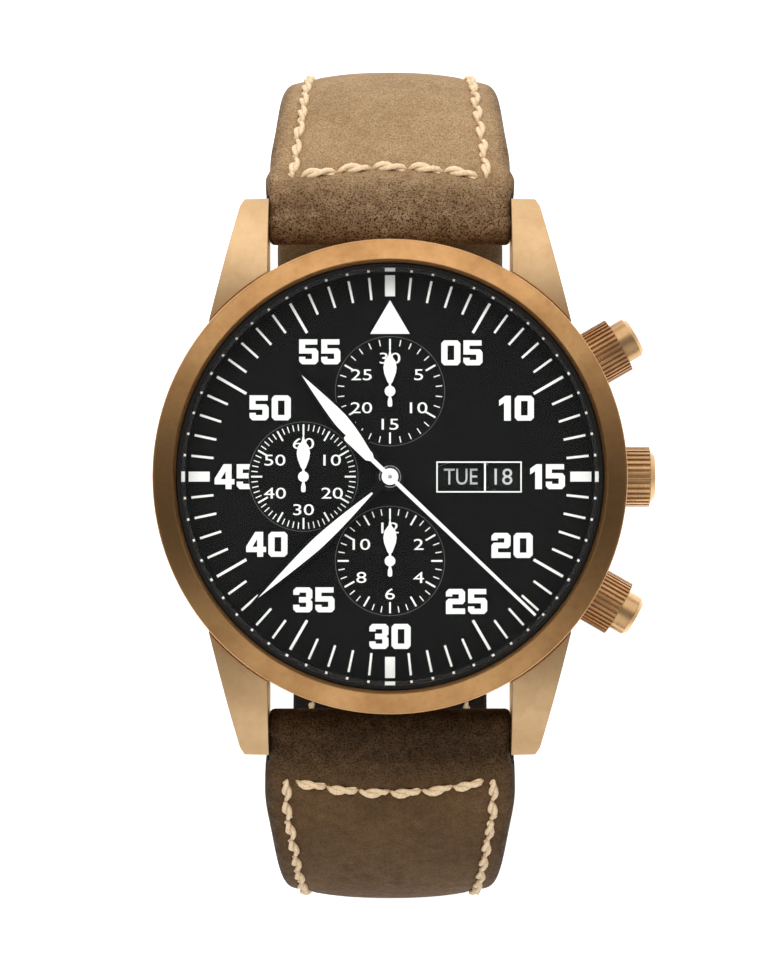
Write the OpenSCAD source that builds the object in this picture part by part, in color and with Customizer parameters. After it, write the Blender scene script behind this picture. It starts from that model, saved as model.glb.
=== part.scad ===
// Automatic chronograph wristwatch, bronze case, leather strap buckled in its closed loop.
// Origin: centre of the case back's flat rear face. +Z through the dial, +Y to 12, +X to 3.

/* [Case] */
// Diameter across the bezel
bezel_d = 42.5; // [39:0.5:52]
// Width of the bezel ring seen from above
bezel_w = 2.25; // [1.8:0.05:3.2]
// Height of the bezel above its seat
bezel_h = 3.4; // [2.9:0.1:4.2]
// How far the bezel overhangs the band
overhang = 0.45; // [0.2:0.05:1]
// Height from the rear face to the bezel seat
case_h = 10.2; // [10.2:0.1:13]
// Thickness of the crystal
crystal_t = 1.7; // [1.3:0.1:2.2]
// Diameter of the window in the case back
back_window_d = 28.6; // [22:0.2:29.4]

/* [Lugs] */
// Gap between the lugs, which takes the strap
lug_gap = 22.2; // [18:0.1:27]
// How far a lug reaches past the bezel
lug_reach = 4.2; // [3:0.05:6]
// Width of a lug at its tip
lug_tip_w = 2.6; // [2:0.1:3.5]
// Width of a lug where it meets the band
lug_root_w = 5.5; // [4:0.1:6.5]
// Radius of the spring bars
bar_r = 0.9; // [0.7:0.05:1.1]

/* [Crown and pushers] */
// Diameter of the crown
crown_d = 5.5; // [4.6:0.1:6.6]
// Length of the crown
crown_l = 3.2; // [2.6:0.1:4]
// Number of flutes on the crown
crown_flutes = 32; // [20:1:40]
// Distance the crown pulls out
crown_pull = 2; // [1:0.1:2.4]
// Angle of each pusher from the crown
pusher_angle = 30; // [27:1:36]
// Diameter of a pusher's cap
cap_d = 3.8; // [3.2:0.1:4.6]
// Diameter of a locking collar
collar_d = 5.2; // [4.8:0.1:6.2]
// Number of flutes on a collar
collar_flutes = 36; // [24:1:40]
// Travel of a pusher
pusher_travel = 1; // [0.6:0.1:1.1]

/* [Dial and hands] */
// Distance of the small dials' centres from the middle
subdial_at = [7.7, 7.8, 7.6];
// Diameter of the small dials
subdial_d = 9.8; // [8:0.1:10.2]
// Length of the hour hand
hour_l = 13.3; // [11:0.1:14]
// Length of the minute hand
minute_l = 17.5; // [14.5:0.1:17.8]
// Length of the centre chronograph hand
sweep_l = 18; // [15:0.1:18]
// Length of the small hands
small_l = 3.7; // [3:0.1:4.4]
// Time that the hands show, in minutes after twelve
shown_min = 637.9; // [0:0.1:719]
// Seconds that the centre chronograph hand shows
shown_sweep = 22.27; // [0:0.01:59]

/* [Movement] */
// Diameter of the movement
movement_d = 30; // [29:0.2:32]
// Radius of the balance wheel
balance_r = 4.4; // [3.6:0.1:4.6]
// Radial length of the rotor's heavy rim
rim_w = 3.7; // [2.5:0.1:4]

/* [Strap] */
// Width of the strap at the case
strap_w = 21.8; // [17:0.1:26]
// Width of the strap at the buckle
strap_end_w = 20.4; // [16:0.1:24]
// Thickness of the padded strap behind the roll
pad_t = 4.4; // [3.4:0.1:5]
// Thickness of the strap at the buckle
thin_t = 2.4; // [2:0.1:3]
// Thickness of the lining
lining_t = 0.8; // [0.5:0.1:1]
// Height of the strap's loop below the rear face, on its middle line
loop_h = 39.9; // [36:0.1:48]
// Width of a keeper band
keeper_w = 5; // [4:0.5:7]

/* [Hidden] */

$fn = 96;
// Clearance of a running fit, and of parts that only pass each other
run = 0.04;
pass = 0.15;
// Clearance of a part pressed into its seat
seat_gap = 0.01;
// Overlap of a cut with the face that it starts on
cut = 1;

// Case radii
bezel_r = bezel_d / 2;
band_r = bezel_r - overhang;
opening_r = bezel_r - bezel_w;
gasket_w = 0.35;
crystal_r = opening_r - gasket_w;
flange_r = crystal_r - 0.25;
neck_r = opening_r + 1;
neck_wall = 0.5;
bore_r = band_r - 2.2;
dial_r = neck_r - neck_wall - 0.05;

// Case heights
seat_z = case_h;
neck_top = seat_z + 1.3;
ledge_z = neck_top + 0.1;
glass_z = ledge_z + 0.7;
bezel_top = seat_z + bezel_h;
dial_top = seat_z - 0.25;
dial_t = 0.45;
dial_z = dial_top - dial_t;
back_t = 1.6;
band_z = 1;
crown_z = dial_z - 4;

// Case back
back_r = bore_r + 0.6;
skirt_r = bore_r - 0.05;
skirt_wall = 0.75;
skirt_h = 1.6;
window_r = back_window_d / 2;
back_glass_r = window_r + 0.8;
back_glass_z = 0.45;
back_glass_t = 1;

// Lugs, spring bars and the strap's rolls
lug_span = bezel_d + 2 * lug_reach;
bar_y = lug_span / 2 - 2.3;
bar_z = 4.2;
tip_r = 0.5;
bar_half = lug_gap / 2 - 0.25;
roll_r = 2.35;

// Crown and pushers
tube_r = 1.3;
tube_bore = 0.56;
stem_r = tube_bore - 0.06;
stem_in = movement_d / 2 - 5.5;
stem_reach = 1.9;
wind_at = stem_in + 0.6;
wind_l = 1.5;
crown_x = band_r + 0.15;
collar_x = band_r + 0.2;
collar_l = 3.15;
cap_out = 1.7;
ptube_r = 1.45;
ptube_bore = 0.66;
pstem_r = 0.6;
cap_in = 1.15;
ptube_end = collar_x + collar_l - cap_in - pusher_travel - 0.1;

// Movement, whose levels are depths below the dial's rear face
move_r = movement_d / 2;
plate_top = 0.9;
plate_low = 2.9;
bridge_top = 5;
bridge_low = 5.75;
// Places of the arbors, from the teeth and modules of the wheels that mesh
m_barrel = 0.13;
m_centre = 0.12;
m_third = 0.115;
m_fourth = 0.085;
m_motion = 0.15;
barrel_t = 84;
centre_p = 12;
centre_t = 64;
third_p = 8;
third_t = 60;
fourth_p = 8;
fourth_t = 84;
escape_p = 7;
escape_t = 20;
cannon_t = 12;
minute_t = 36;
minute_p = 10;
hour_t = 40;
d_barrel = (barrel_t + centre_p) / 2 * m_barrel;
d_third = (centre_t + third_p) / 2 * m_centre;
d_fourth = (third_t + fourth_p) / 2 * m_third;
d_escape = (fourth_t + escape_p) / 2 * m_fourth;
d_motion = (hour_t + minute_p) / 2 * m_motion;
m_cannon = d_motion / ((cannon_t + minute_t) / 2);
barrel_a = 125;
barrel_at = polar(d_barrel, barrel_a);
fourth_at = [-subdial_at[1], 0];
third_x = -(subdial_at[1] ^ 2 + d_third ^ 2 - d_fourth ^ 2) / (2 * subdial_at[1]);
third_at = [third_x, -sqrt(d_third ^ 2 - third_x ^ 2)];
escape_at = fourth_at + polar(d_escape, -90);
escape_r = 2.4;
lever_a = -40.6;
fork_gap = escape_r / cos(30) + 0.35;
fork_at = escape_at + polar(fork_gap, lever_a);
fork_l = 3.45;
balance_at = fork_at + polar(fork_l + 0.65, lever_a);
minute_a = 150;
minute_at = polar(d_motion, minute_a);
day_at = [6.8, -4.6];
day_r = 6;
date_in = 8.6;
date_out = 12.4;
rotor_r = move_r - 0.4;
// Screws: place and head radius
bridge_screws = [[11.5, 6.2], [4.6, 12], [-11.6, 6.4], [-12.6, -2.2], [7.2, -1.6]];
cock_screws = [[6.6, -11.2], [9, -8.6]];
arm_angles = [20, 100, 180];
arm_at = 9.4;

// Strap: each stretch is [radius, turn], or [length, 0] where it is straight
twelve_bend = [[35.5, -28], [18, -32]];
six_bend = [[35.5, -29], [17.5, -35]];
twelve_start = [bar_y, bar_z, -30];
six_start = [bar_y, bar_z, -26];
twelve_two = walk(twelve_start, twelve_bend);
six_two = walk(six_start, six_bend);
loop_z = -loop_h;
twelve_R = twelve_two[1] - loop_z;
six_R = six_two[1] - loop_z;
pin_y = 5;
pin_r = 0.75;
pin_roll = 1.5;
tail_drop = thin_t + 0.44;
ramp_turn = 18;
ramp_R = tail_drop / 2 / (1 - cos(ramp_turn));
ramp_run = 2 * ramp_R * sin(ramp_turn);
turn_y = twelve_two[0] - twelve_R;
turn_z = loop_z + twelve_R;
tail_R = twelve_R + tail_drop;
tail_turn = 46;
twelve_path = concat(twelve_bend, [[twelve_R, -90], [turn_y - pin_y, 0]]);
six_flat = six_two[0] - six_R + pin_y - ramp_run;
six_path = concat(six_bend, [
  [six_R, -90], [six_flat, 0], [ramp_R, ramp_turn], [ramp_R, -ramp_turn],
  [turn_y - pin_y, 0], [tail_R, -tail_turn]
]);
twelve_len = sum([for (g = twelve_path) run_of(g)]);
six_len = sum([for (g = six_path) run_of(g)]);
// Length along the long piece at which the tongue goes through
hole_s = six_len - run_of(six_path[7]) - run_of(six_path[6]) - 6.6;
hole_pitch = 6.5;
hole_r = 1.1;
keeper_t = 1.3;
keeper_gap = 0.3;
fixed_y = 11.5;
free_turn = 18.5;
frame_in = strap_end_w / 2 + 0.3;
frame_w = 1.7;
base_z = loop_z - tail_drop - thin_t / 2 - keeper_gap - keeper_t;
rail_y = -7.3;
rail_w = 3;
tongue_w = 1.9;

// Plane geometry
function polar(r, a) = [r * cos(a), r * sin(a)];
function sum(v, i = 0) = i < len(v) ? v[i] + sum(v, i + 1) : 0;
function run_of(g) = g[1] == 0 ? g[0] : g[0] * abs(g[1]) * PI / 180;
function low_of(d) = dial_z - d;

// One stretch of path from a point with a heading, by its chord
function stretch(p, g, part = 1) =
  let (turn = g[1] * part, c = g[1] == 0 ? g[0] * part : 2 * g[0] * abs(sin(turn / 2)))
  [p[0] + c * cos(p[2] + turn / 2), p[1] + c * sin(p[2] + turn / 2), p[2] + turn];
function walk(p, path, i = 0) = i < len(path) ? walk(stretch(p, path[i]), path, i + 1) : p;
// The point and heading at a length along a path
function along(p, path, s, i = 0) =
  i == len(path) - 1 || s <= run_of(path[i])
    ? stretch(p, path[i], min(1, s / run_of(path[i])))
    : along(stretch(p, path[i]), path, s - run_of(path[i]), i + 1);
// A point moved off its path, outwards from the loop
function beside(q, off) = [q[0] - off * sin(q[2]), q[1] + off * cos(q[2])];
// Thickness of the strap: padded at the case, thin at the buckle
function strap_t(s) = thin_t + (pad_t - thin_t) * max(0, 1 - s / 45) ^ 1.5;

// Outline of a strap's layer between two sides, each a share of the thickness plus an offset
function layer(p, path, from, to, low, high) =
  let (n = 56, at = [for (i = [0:n]) from + (to - from) * i / n])
  concat(
    [for (s = at) beside(along(p, path, s), high[0] * strap_t(s) + high[1])],
    [for (i = [n:-1:0]) beside(along(p, path, at[i]), low[0] * strap_t(at[i]) + low[1])]
  );

// Outline of a toothed wheel: flat-topped teeth with straight flanks
function teeth(n, m) =
  [for (i = [0:n - 1], k = [[-0.31, -1.15], [-0.13, 0.85], [0.13, 0.85], [0.31, -1.15]])
    polar((n / 2 + k[1]) * m, 360 * (i + k[0]) / n)];
// Outline of the escape wheel: raked teeth
function raked(n, r) =
  [for (i = [0:n - 1], k = [[0, r], [0.1, r], [0.34, r - 0.55], [0.92, r - 0.62]])
    polar(k[1], 360 * (i + k[0]) / n)];
// Outline of a leaf hand from its foot to its tip, widest part way
function leaf_side(foot, tip, wide_at, foot_w, wide) =
  let (n = 10)
  concat(
    [for (i = [0:n]) let (t = i / n)
      [foot_w + (wide - foot_w) * sin(90 * t), foot + (wide_at - foot) * t]],
    [for (i = [1:n]) let (t = i / n)
      [wide * (1 - t ^ 1.25), wide_at + (tip - wide_at) * t]]
  );
function both_sides(v) = concat(v, [for (i = [len(v) - 1:-1:0]) [-v[i][0], v[i][1]]]);

// Solids between two heights
module disc(r, low, high) translate([0, 0, low]) cylinder(r = r, h = high - low);
module slab(low, high) translate([0, 0, low]) linear_extrude(high - low) children();
module ring(inner, outer, low, high)
  slab(low, high) difference() {
    circle(outer);
    circle(inner);
  }
module at(p) translate([p[0], p[1], 0]) children();
// A flat link: two round eyes and a narrower web between them
module link(a, b, ra, rb, low, high) {
  waist = 0.86;
  d = b - a;
  side = waist * [-d[1], d[0]] / norm(d);
  at(a) disc(ra, low, high, $fn = 48);
  at(b) disc(rb, low, high, $fn = 48);
  slab(low, high) polygon([a + side * ra, b + side * rb, b - side * rb, a - side * ra]);
}
// Turns a solid that stands on Z to lie along a radius of the case
module radial(angle) rotate([0, 0, angle]) translate([0, 0, crown_z]) rotate([0, 90, 0]) children();
// A section in Y and Z, drawn out along X
module along_x(w) rotate([90, 0, 90]) translate([0, 0, -w / 2]) linear_extrude(w) children();

// A fluted ring: scallops cut round a cylinder that stands on Z
module fluted(r, l, flutes, depth) {
  groove = PI * r / flutes * 0.62;
  difference() {
    cylinder(r = r, h = l);
    for (i = [0:flutes - 1])
      rotate([0, 0, 360 * i / flutes])
        translate([r - depth + groove, 0, -cut]) cylinder(r = groove, h = l + 2 * cut, $fn = 16);
  }
}

module case_middle() {
  lug_x = lug_gap / 2;
  tip_y = lug_span / 2;
  top_R = 15;
  lug_line = 0.36;
  blend_r = band_r - 0.9;
  color("#b98b57") difference() {
    union() {
      rotate_extrude($fn = 180) polygon([
        [bore_r, back_t], [back_r + 0.1, back_t], [back_r + 0.1, band_z], [band_r - 0.5, band_z],
        [band_r, band_z + 0.6], [band_r, seat_z - 0.5], [band_r - 0.25, seat_z],
        [neck_r, seat_z], [neck_r, neck_top], [neck_r - neck_wall, neck_top],
        [neck_r - neck_wall, dial_z], [bore_r, dial_z]
      ]);
      for (sx = [0, 1], sy = [0, 1])
        mirror([sx, 0, 0]) mirror([0, sy, 0]) difference() {
          intersection() {
            slab(0, seat_z) polygon([
              [lug_x, bore_r - 8], [lug_x, tip_y], [lug_x + lug_tip_w - 0.4, tip_y - 0.06],
              [lug_x + lug_tip_w, tip_y - 0.75], [lug_x + lug_root_w, tip_y - 12.2],
              [lug_x + lug_root_w - 0.3, bore_r - 7.5]
            ]);
            along_x(3 * bezel_d) polygon([
              [0, band_z + 0.2], [0, seat_z - 0.5], [tip_y, seat_z - 0.5],
              [tip_y, bar_z - 1.4], [tip_y - 0.8, bar_z - 2.7], [tip_y - 5, band_z + 0.2]
            ]);
            rod([tip_y - 9.6, seat_z - 0.85 - top_R], top_R, 3 * bezel_d, $fn = 180);
          }
          disc(blend_r, -cut, seat_z + cut);
        }
    }
    for (sy = [-1, 1])
      translate([0, sy * bar_y, bar_z]) rotate([0, 90, 0])
        translate([0, 0, -lug_x - 1.5]) cylinder(r = tip_r + run, h = lug_gap + 3, $fn = 32);
    for (sy = [-1, 1]) rod([sy * bar_y, bar_z], roll_r + 0.25, lug_gap, $fn = 64);
    ring(bezel_r - 0.25, bezel_r + lug_line, seat_z - 1.5, seat_z + cut, $fn = 180);
    radial(0) translate([0, 0, bore_r - 2]) cylinder(r = tube_r + seat_gap, h = 6);
    for (a = [-pusher_angle, pusher_angle])
      radial(a) translate([0, 0, bore_r - 2]) cylinder(r = ptube_r + seat_gap, h = 6);
  }
}

module bezel() {
  bevel = 0.42;
  fall = 0.62;
  lip = 0.22;
  color("#c9965c") rotate_extrude($fn = 180) polygon(concat(
    [[neck_r + 0.02, seat_z], [bezel_r - 0.35, seat_z], [bezel_r, seat_z + 0.35]],
    [for (i = [0:4]) let (a = 90 * i / 4)
      [bezel_r - lip + lip * cos(a), bezel_top - fall - lip + lip * sin(a)]],
    [[opening_r + bevel, bezel_top], [opening_r, bezel_top - 0.55], [opening_r, glass_z], [flange_r + 0.05, glass_z],
     [flange_r + 0.05, ledge_z], [neck_r + 0.02, ledge_z]]
  ));
}

module crystal() {
  chamfer = 0.4;
  color("#dfe9ee", 0.35) rotate_extrude($fn = 180) polygon([
    [0, glass_z], [crystal_r, glass_z], [crystal_r, glass_z + crystal_t - chamfer],
    [crystal_r - chamfer, glass_z + crystal_t], [0, glass_z + crystal_t]
  ]);
}

module crystal_gasket()
  color("#2b2b2b") ring(crystal_r, opening_r, glass_z, glass_z + 0.95, $fn = 180);

module rehaut() {
  color("#1a1a1a") rotate_extrude($fn = 180) polygon([
    [flange_r, dial_top], [dial_r, dial_top], [dial_r, ledge_z], [flange_r + 0.05, ledge_z]
  ]);
}

// Day and date windows: left, right and half height
day_window = [4.32, 8.47];
date_window = [8.67, 11.78];
window_h = 1.22;

function subdials() = [[0, subdial_at[0]], [-subdial_at[1], 0], [0, -subdial_at[2]]];

module dial() {
  recess = 0.15;
  color("#0e0e0d") difference() {
    union() {
      disc(dial_r, dial_z, dial_top, $fn = 180);
      for (a = [65, 245])
        at(polar(move_r - 1.2, a)) disc(0.35, dial_z - 1, dial_z, $fn = 24);
    }
    disc(1.15, dial_z - cut, dial_top + cut);
    for (p = subdials()) at(p) {
      disc(0.35, dial_z - cut, dial_top + cut, $fn = 32);
      disc(subdial_d / 2, dial_top - recess, dial_top + cut);
    }
    for (w = [day_window, date_window])
      slab(dial_z - cut, dial_top + cut)
        translate([w[0], -window_h]) square([w[1] - w[0], 2 * window_h]);
  }
}

module case_back() {
  notches = 6;
  color("#b08650") difference() {
    rotate_extrude($fn = 180) polygon([
      [window_r, 0], [back_r - 0.9, 0], [back_r, 0.6], [back_r, back_t],
      [skirt_r, back_t], [skirt_r, back_t + skirt_h], [skirt_r - skirt_wall, back_t + skirt_h],
      [skirt_r - skirt_wall, back_t], [back_glass_r + 0.02, back_t],
      [back_glass_r + 0.02, back_glass_z], [window_r, back_glass_z]
    ]);
    for (i = [0:notches - 1])
      rotate([0, 0, 360 * i / notches + 30])
        translate([back_r - 1.7, -1.3, -cut]) cube([3, 2.6, cut + 0.75]);
    difference() {
      disc(back_r - 0.15, back_t - 0.4, back_t + cut);
      disc(skirt_r, back_t - cut, back_t + 2 * cut);
    }
  }
}

module back_crystal()
  color("#dfe9ee", 0.35) disc(back_glass_r, back_glass_z, back_glass_z + back_glass_t);

module case_back_gasket()
  color("#202020") ring(skirt_r, back_r - 0.15, back_t - 0.4, back_t);

module crown_tube() {
  color("#b98b57") radial(0) difference() {
    translate([0, 0, bore_r + 0.1]) cylinder(r = tube_r, h = band_r - bore_r + 1.3);
    cylinder(r = tube_bore, h = 2 * bezel_d, $fn = 48);
  }
}

module crown() {
  dome = 0.45;
  color("#b07f48") radial(0) translate([0, 0, crown_x]) difference() {
    union() {
      fluted(crown_d / 2, crown_l - dome, crown_flutes, 0.28);
      translate([0, 0, crown_l - dome]) cylinder(r1 = crown_d / 2 - 0.3, r2 = crown_d / 2 - 0.75, h = dome);
    }
    translate([0, 0, -cut]) cylinder(r = tube_r + run + 0.04, h = cut + 1.7);
    cylinder(r = stem_r, h = crown_l - 0.8, $fn = 48);
  }
}

module winding_stem() {
  reach = crown_x + crown_l - 0.8;
  square_l = wind_l + crown_pull + stem_reach;
  color("#9fa3a8") radial(0) {
    translate([0, 0, stem_in - stem_reach]) cylinder(r = stem_r, h = square_l + 0.1, $fn = 4);
    translate([0, 0, stem_in - stem_reach + square_l])
      cylinder(r = stem_r, h = reach - stem_in + stem_reach - square_l, $fn = 48);
  }
}

// The square of the stem slides through this pinion, which turns with it
module winding_pinion() {
  color("#9fa3a8") radial(0) translate([0, 0, wind_at]) difference() {
    fluted(0.95, wind_l, 12, 0.2);
    translate([0, 0, -cut]) cylinder(r = stem_r + run, h = wind_l + 2 * cut, $fn = 4);
  }
}

module pusher_tubes() {
  color("#b98b57") for (a = [-pusher_angle, pusher_angle])
    radial(a) difference() {
      translate([0, 0, bore_r + 0.1]) cylinder(r = ptube_r, h = ptube_end - bore_r - 0.1);
      cylinder(r = ptube_bore, h = 2 * bezel_d, $fn = 48);
    }
}

module pusher(angle) {
  cap_end = collar_x + collar_l + cap_out;
  cap_from = collar_x + collar_l - cap_in;
  edge = 0.35;
  color("#c08f57") radial(angle) {
    translate([0, 0, cap_from]) cylinder(r = cap_d / 2, h = cap_end - cap_from - edge);
    translate([0, 0, cap_end - edge]) cylinder(r1 = cap_d / 2, r2 = cap_d / 2 - edge, h = edge);
    translate([0, 0, move_r + 1]) cylinder(r = pstem_r, h = cap_from - move_r - 1, $fn = 48);
  }
}
module upper_pusher() pusher(pusher_angle);
module lower_pusher() pusher(-pusher_angle);

module collar(angle) {
  color("#8f6a3e") radial(angle) translate([0, 0, collar_x]) difference() {
    fluted(collar_d / 2, collar_l, collar_flutes, 0.24);
    translate([0, 0, -cut]) cylinder(r = ptube_r + run, h = collar_l + 2 * cut);
    translate([0, 0, collar_l - cap_in - pusher_travel])
      cylinder(r = cap_d / 2 + run, h = cap_in + pusher_travel + cut);
  }
}
module upper_collar() collar(pusher_angle);
module lower_collar() collar(-pusher_angle);

// Heights of the hands and radii of the pipes that carry them
hour_z = dial_top + 0.8;
minute_z = dial_top + 1.3;
sweep_z = dial_top + 1.75;
small_z = dial_top + 0.25;
hour_pipe = 1;
minute_pipe = 0.62;
sweep_pipe = 0.2;
centre_pipe = 0.42;
hour_turn = -shown_min / 2;
minute_turn = -(shown_min % 60) * 6;
sweep_turn = -shown_sweep * 6;
lume_edge = 0.25;

// A framed leaf hand, and the filling of its frame, in the same place
module leaf_hand(z, foot, tip, wide_at, wide, hub, pipe, lume, t = 0.2)
  difference() {
    union() {
      slab(z, z + t) polygon(both_sides(leaf_side(foot, tip, wide_at, 0.32, wide)));
      disc(hub, z - 0.02, z + t + 0.04, $fn = 64);
      slab(z, z + t) translate([-0.32, 0]) square([0.64, foot + 0.05]);
    }
    disc(pipe, z - cut, z + t + cut, $fn = 64);
    slab(z - cut, z + t + cut) polygon(both_sides(lume));
  }

hour_window = leaf_side(2.4, hour_l - 1.2, 6.8, 0.1, 0.63);
minute_window = leaf_side(2.16, minute_l - 1.4, 9, 0.08, 0.54);

module hour_hand()
  color("#17181a") rotate([0, 0, hour_turn])
    leaf_hand(hour_z, 1.2, hour_l, 6.8, 0.63 + lume_edge, 1.35, hour_pipe, hour_window);
module hour_lume()
  color("#fbfbf4") rotate([0, 0, hour_turn])
    slab(hour_z + 0.04, hour_z + 0.18) polygon(both_sides(hour_window));
module minute_hand()
  color("#17181a") rotate([0, 0, minute_turn])
    leaf_hand(minute_z, 0.8, minute_l, 9, 0.54 + lume_edge, 0.9, minute_pipe, minute_window);
module minute_lume()
  color("#fbfbf4") rotate([0, 0, minute_turn])
    slab(minute_z + 0.04, minute_z + 0.18) polygon(both_sides(minute_window));

module chrono_seconds_hand() {
  t = 0.14;
  color("#f4f4ee") rotate([0, 0, sweep_turn]) difference() {
    union() {
      slab(sweep_z, sweep_z + t) polygon(both_sides([
        [0.3, -5.4], [0.45, -5.2], [0.45, -2.6], [0.2, -2.2], [0.19, 0], [0.12, sweep_l]
      ]));
      disc(0.75, sweep_z - 0.1, sweep_z + t + 0.08, $fn = 64);
    }
    disc(sweep_pipe, sweep_z - cut, sweep_z + t + cut, $fn = 32);
  }
}

// A small leaf hand on its arbor, with the wheel that turns it under the dial
module small_hand(p, wheel_r, foot) {
  t = 0.14;
  color("#f4f4ee") at(p) {
    slab(small_z, small_z + t) union() {
      polygon(both_sides([
        [0.1, -1.4], [0.2, -1.3], [0.2, -0.9], [0.1, -0.5], [0.1, 0.68], [0.22, 0.8],
        [0.52, 1.6], [0.6, 2.1], [0.5, 2.7], [0.14, 3.2], [0.05, small_l]
      ]));
      circle(0.48, $fn = 48);
    }
    disc(0.2, foot, small_z + t + 0.08, $fn = 32);
    if (wheel_r > 0)
      disc(wheel_r, low_of(0.82), low_of(0.67), $fn = 64);
  }
}
module minute_counter_hand() small_hand(subdials()[0], 2.2, low_of(1.9));
module hour_counter_hand() small_hand(subdials()[2], 1.1, low_of(1.9));
module running_seconds_hand() small_hand(subdials()[1], 0, low_of(0.7));

module day_disc() {
  color("#141414") at(day_at) difference() {
    union() {
      disc(day_r, low_of(0.8), low_of(0.65));
      slab(low_of(0.65), low_of(0.5)) polygon(teeth(14, 0.16));
    }
    disc(0.4 + run, low_of(2), low_of(0), $fn = 32);
  }
}

module date_ring() {
  days = 31;
  notch = [for (i = [0:days - 1], k = [[-0.3, 0.35], [0, 0], [0.3, 0.35]])
    polar(date_in + k[1], 360 * (i + k[0]) / days)];
  color("#141414") slab(low_of(0.45), low_of(0.25)) difference() {
    circle(date_out);
    polygon(notch);
  }
}

module movement_ring() {
  through = bore_r - move_r + 4;
  color("#8d9094") difference() {
    ring(move_r + 0.05, bore_r - 0.1, back_t + skirt_h + 0.05, dial_z - 0.05);
    radial(0) translate([0, 0, move_r - 2]) cylinder(r = stem_r + 0.35, h = through);
    for (a = [-pusher_angle, pusher_angle])
      radial(a) translate([0, 0, move_r - 2]) cylinder(r = pstem_r + 0.25, h = through);
  }
}

// Places of the jewelled pivots: place, low and high level of the hole
bridge_pivots = [third_at, fourth_at, escape_at, barrel_at];
plate_pivots = [third_at, escape_at, barrel_at, fork_at, balance_at];
jewel_r = 0.55;
pivot_r = 0.14;
arbor_r = 0.16;

module main_plate() {
  block = [move_r - 4.6, 4.6];
  pinion_room = [wind_l + 0.3, 2.5];
  color("#c8b98a") difference() {
    union() {
      disc(move_r, low_of(plate_low), low_of(plate_top));
      slab(low_of(plate_top), low_of(0.12)) difference() {
        circle(move_r);
        circle(date_out + 0.1);
        at(day_at) circle(day_r + pass);
      }
      slab(low_of(plate_top), low_of(0.5)) difference() {
        circle(date_out + 0.2);
        circle(date_out - 0.4);
        at(day_at) circle(day_r + pass);
      }
      at(day_at) disc(0.4, low_of(plate_top), low_of(0.5), $fn = 32);
      at(minute_at) disc(0.3, low_of(plate_top), low_of(0.15), $fn = 32);
      slab(low_of(bridge_top - 0.1), low_of(plate_low)) intersection() {
        circle(move_r - 0.05);
        translate([block[0], -block[1] / 2]) square([10, block[1]]);
      }
    }
    disc(centre_pipe + run + 0.02, low_of(5), low_of(0), $fn = 48);
    at(subdials()[1]) disc(0.2 + run, low_of(5), low_of(0), $fn = 32);
    for (p = [subdials()[0], subdials()[2]])
      at(p) disc(0.2 + run, low_of(2), low_of(0), $fn = 32);
    for (p = plate_pivots) at(p) disc(jewel_r, low_of(plate_low + cut), low_of(plate_low - 0.5), $fn = 32);
    for (a = [65, 245])
      at(polar(move_r - 1.2, a)) disc(0.35 + run, low_of(1.1), low_of(0), $fn = 24);
    radial(0) translate([0, 0, stem_in - stem_reach - 0.5]) cylinder(r = stem_r + run, h = 12, $fn = 48);
    at([wind_at + wind_l / 2, 0]) slab(low_of(bridge_top), low_of(plate_low - 0.2))
      square(pinion_room, center = true);
  }
}

// The balance and its cock stand in an opening of the train bridge
module balance_opening() {
  at(balance_at) circle(balance_r + 0.9);
  translate([balance_at[0] - balance_r - 0.9, -move_r - 1])
    square([2 * move_r, balance_at[1] + move_r + 1]);
  translate([balance_at[0], -move_r]) square([2 * move_r, move_r + balance_at[1] + 5.2]);
}

module train_bridge() {
  color("#c9ccd0") difference() {
    union() {
      slab(low_of(bridge_low), low_of(bridge_top)) difference() {
        circle(move_r - 0.4);
        balance_opening();
      }
      slab(low_of(bridge_top), low_of(plate_low)) difference() {
        circle(move_r - 0.4);
        circle(move_r - 1.5);
        balance_opening();
        translate([move_r - 3, -2.6]) square([4, 5.2]);
      }
      for (p = bridge_screws)
        at(p) disc(0.75, low_of(bridge_top), low_of(plate_low), $fn = 32);
    }
    disc(0.35, low_of(6), low_of(4), $fn = 32);
    for (p = bridge_pivots)
      at(p) disc(jewel_r, low_of(bridge_low + cut), low_of(bridge_top - cut), $fn = 32);
    for (p = bridge_screws)
      at(p) disc(0.4, low_of(bridge_low + cut), low_of(plate_low - cut), $fn = 24);
  }
}

module balance_cock() {
  foot = [[4.4, -13.4], [3.6, -9.6], [7.2, -6.4], [11.6, -8.4], [9.6, -10.9], [7, -12.8]];
  color("#c9ccd0") difference() {
    union() {
      link(balance_at, [5.6, -10.6], 1.5, 1.9, low_of(bridge_low), low_of(bridge_top));
      slab(low_of(bridge_low), low_of(bridge_top)) polygon(foot);
      slab(low_of(bridge_top), low_of(plate_low)) difference() {
        polygon(foot);
        at(balance_at) circle(balance_r + 0.5);
      }
    }
    at(balance_at) disc(jewel_r, low_of(bridge_low + cut), low_of(bridge_top - cut), $fn = 32);
    for (p = cock_screws)
      at(p) disc(0.4, low_of(bridge_low + cut), low_of(plate_low - cut), $fn = 24);
  }
}

module pallet_bridge() {
  side = fork_at + polar(2.6, lever_a - 90);
  color("#c9ccd0") difference() {
    union() {
      link(fork_at, side, 0.8, 0.8, low_of(3.85), low_of(3.62));
      at(side) disc(0.75, low_of(3.7), low_of(plate_low), $fn = 48);
    }
    at(fork_at) disc(pivot_r + run, low_of(5), low_of(3), $fn = 24);
  }
}

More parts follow.
